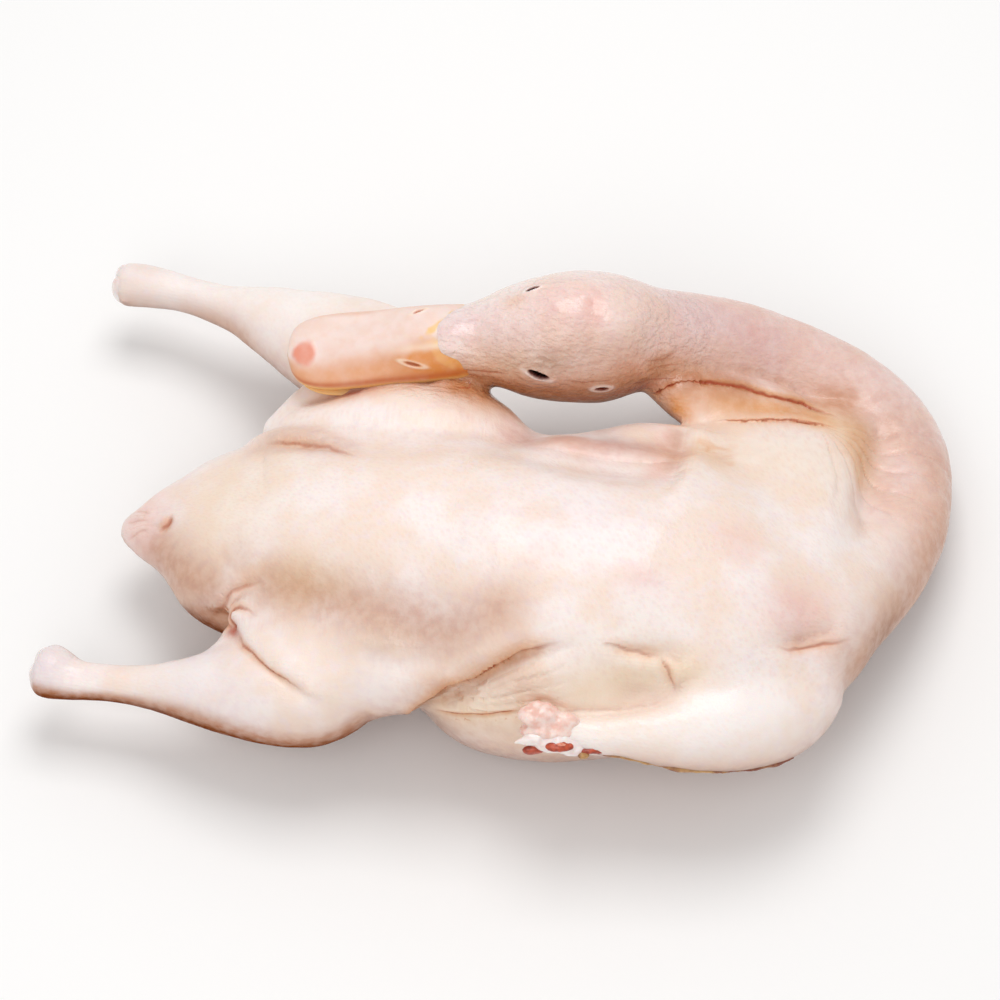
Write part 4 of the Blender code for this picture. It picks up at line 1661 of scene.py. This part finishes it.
@dataclass(frozen=True)
class BillHorn:
    """The soft horn of a table duck's bill: cream on top, orange at the sides, yellow at its edges.

    It is smooth and a little waxy, with light going in, so it looks softer than nail. The orange
    of the near side and underside is partly painted shade, and a pale stripe along the top is a
    painted highlight.
    """

    top: str = "#f3dbd2"
    blotch: str = "#edc9b6"
    tones: tuple[tuple[str, str], ...] = (
        # side: the horn's orange, partly painted shade on the near side and underside
        ("side", "#dc8b3e"),
        ("rim", "#f2c277"),
        ("tip", "#e8957c"),
        # nostril: painted shade inside the nostril slits; the same red draws the line over the cutting edge
        ("nostril", "#c4622f"),
        # pale: the nostril lids, and a painted highlight along the top of the bill
        ("pale", "#f8e2cc"),
    )

    streak_mm: float = 5.0
    cloud_mm: float = 6.0
    pit_mm: float = 1.3
    pit_depth: float = 0.16
    streaks: Range = (0.35, 0.7, 0, 0.45)
    raggedness: Range = (0.3, 0.7, 0.9, 1.1)
    constants: tuple[tuple[str, float | Point], ...] = (
        ("Roughness", 0.4),
        ("IOR", 1.5),
        ("Subsurface Weight", 0.2),
        ("Subsurface Radius", (1.0, 0.45, 0.2)),
        ("Subsurface Scale", 2.5 * MM),
        ("Coat Weight", 0.2),
        ("Coat Roughness", 0.22),
    )

    def material(self) -> bpy.types.Material:
        """Builds the shader from the bill's own attributes.

        Returns:
            The material.
        """
        shading = Shading("waxy_bill_horn")
        add = shading.add
        place = add(Step.PLACE)
        streak = add(Step.NOISE, place, per_metre(self.streak_mm), 3.0)
        share = add(Step.RAMP, streak, *self.streaks)
        colour = add(Step.MIX, share, linear(self.top), linear(self.blotch))
        cloud = add(Step.NOISE, place, per_metre(self.cloud_mm), 4.0)
        ragged = add(Step.RAMP, cloud, *self.raggedness)
        for name, tone in self.tones:
            amount = add(Step.MULTIPLY, add(Step.STORED, attribute_name=name), ragged)
            colour = add(Step.MIX, add(Step.CLAMP, amount), colour, linear(tone))
        pits = add(Step.NOISE, place, per_metre(self.pit_mm), 4.0)
        surface = {"Base Color": colour, "Normal": add(Step.BUMP, 0.4, self.pit_depth * MM, pits)}
        return shading.finished(surface | dict(self.constants))


class Half(Enum):
    """The two halves of the bill, each with its piece name, squareness and drop in millimetres."""

    UPPER = ("bill_upper", 2.35, 0.0)
    LOWER = ("bill_lower", 2.2, 5.1)


@dataclass
class Bill(Assembly):
    """Upper and lower bill, each a closed shell along the line from the face to the tip.

    A station is (distance from the base, half width, height above the shell's own line, depth
    below it). The section is a superellipse, squarer than an oval.
    """

    finish = BillHorn()
    base: Point = (-17.0, 87.1, 71.4)
    tip: Point = (-90.5, 69.8, 65.4)
    roll: float = 17.0
    rings: int = 240
    sides: int = 200
    nail_at: float = 68.6
    nail_radius: float = 5.3
    upper: tuple[tuple[float, ...], ...] = (
        (0, 13.2, 8.5, 6.0), (8, 14.5, 10.6, 6.4), (18, 15.0, 10.9, 6.6), (28, 15.2, 9.8, 6.4),
        (40, 15.1, 7.6, 5.8), (52, 15.3, 6.2, 5.0), (61, 14.9, 5.3, 4.3),
        (67.5, 13.4, 4.7, 3.8), (71.5, 11.0, 4.1, 3.3), (73.8, 7.6, 3.2, 2.6),
        (74.8, 4.2, 2.2, 1.8),
    )
    lower: tuple[tuple[float, ...], ...] = (
        (0, 13.0, 2.0, 5.5), (10, 14.9, 1.6, 5.0), (22, 16.0, 1.4, 4.4), (36, 16.6, 1.2, 3.8),
        (50, 16.7, 1.1, 3.2), (61, 15.9, 1.0, 2.8), (67.5, 13.6, 0.9, 2.4),
        (71.5, 10.0, 0.8, 1.8),
    )

    def axes(self) -> tuple[Array, Array, Array]:
        """The bill's directions.

        Returns:
            Towards the tip, across to its left, and up through its top.
        """
        ahead = unit(np.array(self.tip) - np.array(self.base))
        level = unit(np.cross([0, 0, 1], ahead))
        up = np.cross(ahead, level)
        turn = math.radians(self.roll)
        # the tip points towards the tail, so the duck's left is on the level direction's far side
        across = -(level * math.cos(turn) - up * math.sin(turn))
        return ahead, across, np.cross(across, ahead)

    def shell(self, half: Half) -> tuple[Surface, Array]:
        """One closed shell.

        Args:
            half: which half of the bill.

        Returns:
            The surface, and each vertex's (distance, share across, share up).
        """
        ahead, across, up = self.axes()
        _, exponent, drop = half.value
        stations = self.upper if half is Half.UPPER else self.lower
        rows = smooth_rows(np.array(stations, float), 16)
        at = np.linspace(0, 1, self.rings) ** 0.85 * (len(rows) - 1)
        rows = np.stack([np.interp(at, np.arange(len(rows)), rows[:, k]) for k in range(4)], 1)
        sideways, upward = oval(self.sides, exponent)
        height = np.where(upward > 0, rows[:, 2:3] * upward, rows[:, 3:4] * upward)
        lowered = drop * (1 - 0.45 * ramp(rows[:, :1], 40, 74))
        centre = np.array(self.base) + rows[:, :1] * ahead - lowered * up
        rings = centre[:, None] + across * (rows[:, 1:2] * sideways)[..., None]
        rings = rings + up * height[..., None]
        reach = rows[-1, 2] * 0.35
        surface = closed_rings(rings, centre[0], centre[-1] + ahead * reach)
        shares = [np.broadcast_to(part, height.shape) for part in (rows[:, :1], sideways, upward)]
        ends = np.array([[rows[0, 0], 0, 0], [rows[-1, 0] + reach, 0, 0]])
        return surface, np.vstack([np.stack(shares, -1).reshape(-1, 3), ends])

    def nostrils(self) -> list[Opening]:
        """The two nostrils: slits along the bill's upper half, each ringed by a soft swelling.

        Returns:
            The right one and the left one.
        """
        ahead, across, up = self.axes()
        openings = []
        for side, along, half_length in ((-1, 27.0, 3.0), (1, 23.5, 2.0)):
            centre = np.array(self.base) + along * ahead + side * 9.9 * across + 7.6 * up
            slant, outward = ahead - 0.35 * side * across, up + 0.8 * side * across
            turns = tuple(slant), tuple(outward)
            openings.append(Opening(tuple(centre), *turns, half_length, 0.6, 4.0, 0.6, 1.0, 0.7))
        return openings

    def relief(self, half: Half, points: Array, place: Array) -> tuple[Array, Array, Array, Array]:
        """The small relief of a shell: nostrils, nail, a ridge down the middle and hollows beside it.

        Args:
            half: which half of the bill.
            points: its points.
            place: their distances and shares.

        Returns:
            Each point's height, and how much it is nail, nostril and pale lid.
        """
        distance, share, up = place.T
        height = 0.08 * skin_noise(points, 7, 12)
        nail, nostril, pale = np.zeros((3, len(points)))
        if half is Half.UPPER:
            for opening in self.nostrils():
                rise, inside, lid = opening.relief(points)
                height += rise
                nostril, pale = np.maximum(nostril, inside), np.maximum(pale, lid)
            ahead, aside = distance - self.nail_at, (share + 0.1) * 13.2
            flat = np.hypot(ahead / self.nail_radius, aside / self.nail_radius)
            nail = (1 - ramp(flat + 0.15 * skin_noise(points, 3, 84), 0.6, 1.16)) * (up > 0)
            hollow = bell((distance - 46) / 17) * bell((np.abs(share) - 0.62) / 0.25)
            ridge = bell(share / 0.3) * ramp(distance, 6, 20) * (1 - ramp(distance, 34, 62))
            height += (0.45 * nail + 0.7 * ridge - 0.9 * hollow) * (up > 0)
        return height, nail, nostril, pale

    def build(self) -> list[Piece]:
        """Makes both shells with their relief and colour attributes.

        Returns:
            The upper and the lower shell.
        """
        pieces = []
        for half in Half:
            surface, place = self.shell(half)
            piece = new_piece(half.value[0], [surface])
            mesh = piece.data
            points, normals = coordinates(mesh), vertex_normals(mesh)
            height, nail, nostril, pale = self.relief(half, points, place)
            put_back(mesh, points + normals * height[:, None])
            rim, bite = self.edges(half, points, place)
            # lit: a painted highlight, a pale stripe along the top of the bill
            lit = bell((place[:, 1] + 0.3) / 0.1) * (place[:, 2] > 0)
            lit = 0.6 * lit * ramp(place[:, 0], 8, 16) * (1 - ramp(place[:, 0], 24, 40))
            set_attribute(mesh, "side", self.orange(points, place) * (1 - 0.6 * nail))
            set_attribute(mesh, "rim", rim)
            set_attribute(mesh, "tip", 0.9 * nail)
            # painted shade inside the nostril slits, and the red line over the edge
            set_attribute(mesh, "nostril", np.maximum(nostril, bite))
            set_attribute(mesh, "pale", np.maximum(pale, lit))
            pieces.append(piece)
        return pieces

    def orange(self, points: Array, place: Array) -> Array:
        """The orange of near side, far edge, underside and mouth corner, and clouds of it on top.

        Args:
            points: the shell's points.
            place: their distances and shares.

        Returns:
            How orange each point is.
        """
        distance, share, up = place.T
        wobble = 0.12 * skin_noise(points, 9, 81)
        # near side and underside: the horn's orange, partly painted shade
        near = ramp(-share + wobble + 0.004 * (30 - distance), 0.0, 0.6)
        near = near * (0.7 + 0.22 * ramp(-distance, -30, -10))
        far = 0.3 * ramp(share + wobble, 0.82, 1.0)
        under = 0.8 * ramp(-up, 0.0, 0.4)
        corner = 0.4 * bell((distance - 16) / 14) * bell((share + 0.66) / 0.24) * (up > 0)
        cloud = 0.35 * ramp(skin_noise(points, 8, 85), 0.1, 0.6) * ramp(-share, -0.4, 0.6)
        return np.minimum(np.maximum.reduce([near, far, under]) + corner + cloud, 1)

    def edges(self, half: Half, points: Array, place: Array) -> tuple[Array, Array | float]:
        """The yellow along the shell's cutting edge and below the face, and the red over the edge.

        Args:
            half: which half of the bill.
            points: its points.
            place: their distances and shares.

        Returns:
            How yellow each point is, and how red.
        """
        distance, share, up = place.T
        aside = BILL_LINE.sideways(points)
        middle = bell((aside + 0.5) / 3.4)
        blotch = np.clip(0.5 + 1.5 * skin_noise(points, 3.0, 83), 0, 0.9)
        arm = 1 - 0.6 * ramp(-aside, 2, 6)
        past = ramp(BILL_LINE.past(points), 3.2 * middle - 0.1, 1.2 + 6.2 * middle)
        base = np.where(distance < 40, arm * blotch * (1 - past), 0)
        if half is Half.LOWER:
            edge = 0.85 * ramp(np.abs(share), 0.84, 0.875) * (np.abs(up) < 0.8)
            return np.maximum(edge, base), 0.0
        edge = 0.85 * ramp(-up, -0.3, -0.14)
        return np.maximum(edge, base), 0.6 * bell((up - 0.42) / 0.13) * ramp(-share, 0.6, 0.85)


@dataclass(frozen=True)
class PlainFinish:
    """A finish with one mottled colour.

    It has two hex colours in lumps of a size, a roughness, a wet coat, light that goes into it,
    a fine bump, a shine, and the two noise values between which the second colour comes in.
    """

    name: str
    colour: str
    mottle: str
    lump_mm: float
    roughness: float
    coat: float = 0.3
    subsurface: float = 0.2
    bump_mm: float = 0.15
    shine: float = 0.5
    patches: tuple[float, float] = (0.36, 0.68)

    def material(self) -> bpy.types.Material:
        """Builds the shader.

        Returns:
            The material.
        """
        shading = Shading(self.name)
        add = shading.add
        place = add(Step.PLACE)
        share = add(Step.NOISE, place, per_metre(self.lump_mm), 4.0)
        share = add(Step.RAMP, share, *self.patches, 0, 1)
        fine = add(Step.NOISE, place, per_metre(self.lump_mm / 3), 3.0)
        surface = {
            "Base Color": add(Step.MIX, share, linear(self.colour), linear(self.mottle)),
            "Normal": add(Step.BUMP, 0.5, self.bump_mm * MM, fine),
            "Roughness": self.roughness,
            "Specular IOR Level": self.shine,
            "Coat Weight": self.coat,
            "Coat Roughness": 0.12,
            "Subsurface Weight": self.subsurface,
            "Subsurface Radius": (1.0, 0.35, 0.2),
            "Subsurface Scale": 1.5 * MM,
        }
        return shading.finished(surface)


# A wet eyeball behind the lids: near black, with a sharp glint.
EYE_WET = PlainFinish(
    "wet_dark_eye", "#0c0807", "#1c100c", 2.0, 0.3, coat=0.02, subsurface=0.0, bump_mm=0.01, shine=0.1
)
# Cut breast and forearm muscle: pink with red fibres, wet.
CUT_MUSCLE = PlainFinish("cut_wet_muscle", "#f7ddd3", "#efbfb0", 3.0, 0.28, bump_mm=0.3)
# Joint gristle: bluish white and slippery.
GRISTLE = PlainFinish("wet_joint_gristle", "#f6ebe7", "#f0dad5", 4.0, 0.25)
# Marrow and clotted blood in the cut bone end.
RED_MARROW = PlainFinish("red_bone_marrow", "#c6512f", "#93301a", 1.8, 0.3)
# The spongy middle of the bone end, washed pink.
BONE_CORE = PlainFinish("pink_spongy_bone", "#e79a82", "#d4694c", 2.0, 0.35)
# Torn under-skin fat: butter yellow, greasy, crumbly at the edge.
TORN_FAT = PlainFinish("torn_yellow_fat", "#cfa063", "#83502c", 3.0, 0.4, bump_mm=0.3)
# The torn rim of skin: the same fat, with stretches of dried red-brown blood.
TORN_RIM = PlainFinish(
    "torn_bloody_rim", "#c79a63", "#86432a", 7.0, 0.4, bump_mm=0.3, patches=(0.38, 0.6)
)


def blob(centre: Point, radii: Point, along: Point, lumps: float, cell: float, seed: int) -> Surface:
    """A lumpy ellipsoid: rings of longitude and latitude pushed out by noise.

    Args:
        centre: its middle.
        radii: half its length along, across and up.
        along: the direction of its length.
        lumps: how far the noise pushes, in millimetres.
        cell: the size of a lump.
        seed: picks the noise.

    Returns:
        The surface.
    """
    ahead = unit(np.array(along, float))
    side = unit(np.cross([0, 0, 1], ahead))
    axes = np.stack([ahead, side, np.cross(ahead, side)])
    polar = np.linspace(0, math.pi, 42)[1:-1, None]
    angle = np.linspace(0, 2 * math.pi, 56, endpoint=False)
    waist = np.sin(polar)
    ball = np.stack(np.broadcast_arrays(-np.cos(polar), waist * np.cos(angle), waist * np.sin(angle)), -1)
    rings = np.array(centre) + (ball * np.array(radii)) @ axes
    flat = rings.reshape(-1, 3)
    push = (lumps * skin_noise(flat, cell, seed))[:, None] * (unit(ball.reshape(-1, 3)) @ axes)
    reach = ahead * radii[0]
    rings = (flat + push).reshape(rings.shape)
    return closed_rings(rings, np.array(centre) - reach, np.array(centre) + reach)


@dataclass
class Eyeballs(Assembly):
    """The dark wet eyes that show in the slits between the lids."""

    finish = EYE_WET
    radius: float = 5.2
    sink: float = 2.0

    def build(self) -> list[Piece]:
        """Makes one ball behind each slit.

        Returns:
            The right eye and the left eye.
        """
        pieces = []
        for name, eye in zip(("eye_right", "eye_left"), EYES):
            out = unit(np.array(eye.outward, float))
            centre = tuple(np.array(eye.centre) - out * (self.radius + self.sink - eye.lid_height))
            pieces.append(new_piece(name, [blob(centre, (self.radius,) * 3, eye.ahead, 0, 5, 0)]))
        return pieces


# ---- cut ends


class Side(Enum):
    """The duck's sides, with the sign of y for each."""

    RIGHT = -1
    LEFT = 1


class Tissue(Enum):
    """What shows at a wing's cut, each with its finish."""

    MUSCLE = CUT_MUSCLE
    GRISTLE = GRISTLE
    MARROW = RED_MARROW
    CORE = BONE_CORE
    FAT = TORN_FAT


@dataclass
class WingStump(Assembly):
    """The cut elbow: a knob of muscle, a crescent of gristle and the red hollow of the bone.

    Places are (right, up, out) of the cut face in millimetres, from the middle of the hollow.
    """

    side: Side
    hollow: Point
    voxel: float = 0.4

    RIGHT = np.array((0.98, 0.19, 0.0))
    UP = np.array((-0.16, 0.823, 0.545))
    OUT = np.array((0.104, -0.535, 0.839))

    def mirrored(self, direction: Array) -> Array:
        """A direction of the right wing, or its mirror image for the left one."""
        return direction * np.array((1, -self.side.value, 1))

    def place(self, right: float, up: float, out: float) -> Point:
        """A point of the duck from its place on the cut face."""
        away = right * self.RIGHT + up * self.UP + out * self.OUT
        return tuple(np.array(self.hollow) + self.mirrored(away))

    def lump(self, at: Point, radii: Point, lumps: float, seed: int) -> Surface:
        """A lumpy ellipsoid at a place on the cut face, lying along it."""
        return blob(self.place(*at), radii, tuple(self.mirrored(self.RIGHT)), lumps, 3.5, seed)

    def cord(self, *stations: tuple[float, float, float, float]) -> Surface:
        """A tube through places on the cut face, each with its radius."""
        rows = tuple((*self.place(*station[:3]), station[3]) for station in stations)
        return Tube(rows, sides=24, steps=10).surface()

    def surfaces(self) -> dict[Tissue, list[Surface]]:
        """The lumps and cords of each tissue.

        Returns:
            Each tissue's surfaces.
        """
        return {
            Tissue.MUSCLE: [
                self.lump((-6.6, 10.0, -1.8), (7.8, 5.2, 4.4), 1.2, 21),
                self.lump((1.6, 8.0, -2.2), (6.2, 3.8, 3.2), 0.9, 22),
                self.lump((-2.6, 4.6, -3.0), (11.0, 4.6, 4.4), 0.6, 23),
            ],
            Tissue.GRISTLE: [
                self.lump((0.4, 0.6, -2.0), (9.0, 4.6, 3.6), 1.0, 24),
                self.lump((-7.6, 1.6, -1.8), (6.2, 2.8, 2.8), 0.9, 25),
                self.lump((4.6, -1.8, -2.2), (5.0, 2.6, 2.6), 0.7, 26),
                self.cord((-15.4, 0.4, -1.6, 0.7), (-12.0, 1.2, -1.0, 1.7), (-7.0, 2.0, -0.8, 2.3)),
            ],
            Tissue.MARROW: [
                self.lump((0.4, -0.6, 0.7), (5.2, 2.4, 1.7), 0.4, 27),
                self.lump((-9.0, -2.4, -3.0), (4.2, 1.6, 2.0), 0.6, 28),
                self.cord((7.4, -2.6, -1.6, 0.9), (12.0, -2.4, -1.8, 1.3), (18.5, -2.8, -3.2, 0.6)),
            ],
            Tissue.CORE: [self.lump((0.9, -0.2, 1.6), (2.4, 1.1, 1.2), 0.3, 29)],
            Tissue.FAT: [self.lump((8.9, -4.0, -1.8), (2.3, 1.7, 1.6), 0.6, 30)],
        }

    def build(self) -> list[Piece]:
        """Makes one piece for each tissue, its lumps run together and its surface torn.

        Returns:
            The pieces, in the order of the tissues.
        """
        pieces = []
        for seed, (tissue, surfaces) in enumerate(self.surfaces().items()):
            piece = new_piece(f"wing_cut_{tissue.name}_{self.side.name}".lower(), surfaces)
            fuse(piece, self.voxel)
            mesh = piece.data
            points = coordinates(mesh)
            points = relaxed(points, edge_pairs(mesh), np.full(len(points), 0.5), 6)
            put_back(mesh, points)
            torn = 0.32 * skin_noise(points, 2.6, 90 + seed) + 0.12 * skin_noise(points, 1.1, 95 + seed)
            put_back(mesh, points + vertex_normals(mesh) * torn[:, None])
            mesh.shade_smooth()
            pieces.append(piece)
        return pieces

    def dress(self, pieces: list[Piece]) -> None:
        """Gives each tissue its own finish.

        Args:
            pieces: what the stump built.
        """
        for tissue, piece in zip(Tissue, pieces):
            piece.data.materials.clear()
            piece.data.materials.append(tissue.value.material())


@dataclass
class TornEdge(Assembly):
    """The ragged rim of fat low on the right wing, where skin was torn: a lumpy thread."""

    finish = TORN_RIM
    skin: Piece
    path: Path = (
        (56, -75, 55.5), (64, -74, 54), (74, -73, 51), (84, -72, 48.5), (92, -71, 46),
        (98, -69.5, 44), (106, -66, 42), (114, -61, 40), (119, -57, 40), (124, -51, 41),
    )
    radius: float = 0.65
    end_share: float = 0.35

    def build(self) -> list[Piece]:
        """Lays the thread on the skin, thinner towards its ends, and roughens it along its normals.

        Returns:
            The thread, as the only piece.
        """
        points = coordinates(self.skin.data)
        corners = smooth_rows(np.array(self.path, float), 4)[::2]
        nearest = [points[np.linalg.norm(points - corner, axis=1).argmin()] for corner in corners]
        bulge = (1 - self.end_share) * np.sin(np.linspace(0, math.pi, len(nearest)))
        radii = self.radius * (self.end_share + bulge)
        stations = tuple((*place, radius) for place, radius in zip(nearest, radii))
        piece = new_piece("torn_wing_fat", [Tube(stations, sides=30, steps=24).surface()])
        mesh = piece.data
        points, normals = coordinates(mesh), vertex_normals(mesh)
        rough = 0.9 * skin_noise(points, 7, 31) + 0.2 * skin_noise(points, 1.8, 32)
        put_back(mesh, points + normals * rough[:, None])
        return [piece]


@dataclass
class Hocks(Assembly):
    """The bared joints at the ends of the legs: low domes of gristle, each of two knuckles.

    An end is its side, centre, direction and radius.
    """

    finish = GRISTLE
    ends: tuple[tuple[Side, Point, Point, float], ...] = (
        (Side.RIGHT, (-154.3, -63, 30), (-1, 0.1, 0), 10.2),
        (Side.LEFT, (-170.5, 115, 32), (-1, 0.02, -0.06), 9.6),
    )
    apart: float = 0.28  # from here on, shares of the radius
    knuckle: Point = (0.42, 0.5, 0.72)

    def build(self) -> list[Piece]:
        """Makes each dome from two knuckles that run together.

        Returns:
            The right one and the left one.
        """
        pieces = []
        for side, centre, ahead, radius in self.ends:
            across = unit(np.cross(unit(np.array(ahead, float)), [0, 0, 1]))
            radii = tuple(share * radius for share in self.knuckle)
            knuckles = []
            for sign in (-1, 1):
                middle = tuple(np.array(centre) + sign * self.apart * radius * across)
                knuckles.append(blob(middle, radii, ahead, 0.15, 5.0, 41 + sign))
            pieces.append(new_piece(f"hock_joint_{side.name.lower()}", knuckles))
        return pieces


# ---- studio


@dataclass
class Studio:
    """A plain pale floor, soft light from overhead and the camera of the photograph."""

    floor_half: float = 4.0
    paper: str = "#fbfaf9"
    azimuth: float = 11.0
    elevation: float = 57.0
    distance: float = 1.15
    aim: Point = (0.0, 33.5, 45.0)
    focal_share: float = 3.0263  # focal length in frame widths
    sensor: float = 36.0
    sky: float = 0.62
    lit: Point = (0, 0, 0.04)
    lamps: tuple[tuple[str, float, float, Point], ...] = (
        ("overhead_softbox", 4.9, 0.6, (-0.02, 0.32, 1.15)),
        ("front_softbox", 2.5, 0.7, (-0.12, -0.75, 0.95)),
    )

    def build(self) -> None:
        """Makes the floor, the lights and the camera."""
        self.floor()
        self.lights()
        self.camera()

    def floor(self) -> None:
        """A square sheet under everything, pale and matt."""
        low, high = -self.floor_half, self.floor_half
        mesh = bpy.data.meshes.new("floor")
        corners = [(low, low, 0), (high, low, 0), (high, high, 0), (low, high, 0)]
        mesh.from_pydata(corners, [], [(0, 1, 2, 3)])
        floor = bpy.data.objects.new("floor", mesh)
        bpy.context.scene.collection.objects.link(floor)
        paper = {"Base Color": linear(self.paper), "Roughness": 0.9}
        mesh.materials.append(Shading("matt_white_paper").finished(paper))

    def lights(self) -> None:
        """An even sky and two large soft lamps: name, watts, side in metres and place."""
        world = bpy.data.worlds.new("soft_sky")
        world.use_nodes = True
        shade = world.node_tree.nodes["Background"]
        shade.inputs["Color"].default_value = (1, 1, 1, 1)
        shade.inputs["Strength"].default_value = self.sky
        bpy.context.scene.world = world
        for name, watts, size, place in self.lamps:
            lamp = bpy.data.lights.new(name, "AREA")
            lamp.energy = watts
            lamp.size = size
            softbox = bpy.data.objects.new(name, lamp)
            softbox.location = place
            towards = Vector(self.lit) - softbox.location
            softbox.rotation_euler = towards.to_track_quat("-Z", "Y").to_euler()
            bpy.context.scene.collection.objects.link(softbox)

    def camera(self) -> None:
        """The camera: it looks at aim from azimuth and elevation, as the photograph does."""
        a, e = math.radians(self.azimuth), math.radians(self.elevation)
        back = Vector((math.sin(a) * math.cos(e), -math.cos(a) * math.cos(e), math.sin(e)))
        right = Vector((math.cos(a), math.sin(a), 0))
        place = Vector((np.array(self.aim) - FRAME_CENTRE) * MM) + back * self.distance
        data = bpy.data.cameras.new("camera")
        data.sensor_width = self.sensor
        data.sensor_fit = "HORIZONTAL"
        data.lens = self.sensor * self.focal_share
        data.clip_start = 0.01
        camera = bpy.data.objects.new("camera", data)
        turned = Matrix((right, back.cross(right), back)).transposed().to_4x4()
        camera.matrix_world = Matrix.Translation(place) @ turned
        bpy.context.scene.collection.objects.link(camera)
        bpy.context.scene.camera = camera
        bpy.context.scene.view_settings.view_transform = "Standard"


def hand_over(assembly: Assembly) -> list[Piece]:
    """Builds and dresses an assembly, and hands its pieces to the frame.

    Each piece rides on the body and replaces the solid duck.

    Args:
        assembly: what to build.

    Returns:
        Its pieces.
    """
    pieces = assembly.build()
    assembly.dress(pieces)
    for piece in pieces:
        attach(piece, BODY)
        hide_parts(NODE)
        LOG.info("%s: %d faces", piece.name, len(piece.data.polygons))
    return pieces


def main() -> None:
    """Builds each assembly in order, then the studio."""
    logging.basicConfig(level=logging.INFO, format="%(name)s: %(message)s")
    (skin,) = hand_over(DuckSkin())
    hand_over(Bill())
    hand_over(Eyeballs())
    hand_over(WingStump(Side.RIGHT, (42, -74, 60.5)))
    hand_over(WingStump(Side.LEFT, (6, 57, 38)))
    hand_over(TornEdge(skin))
    hand_over(Hocks())
    Studio().build()


if __name__ == "__main__":
    main()
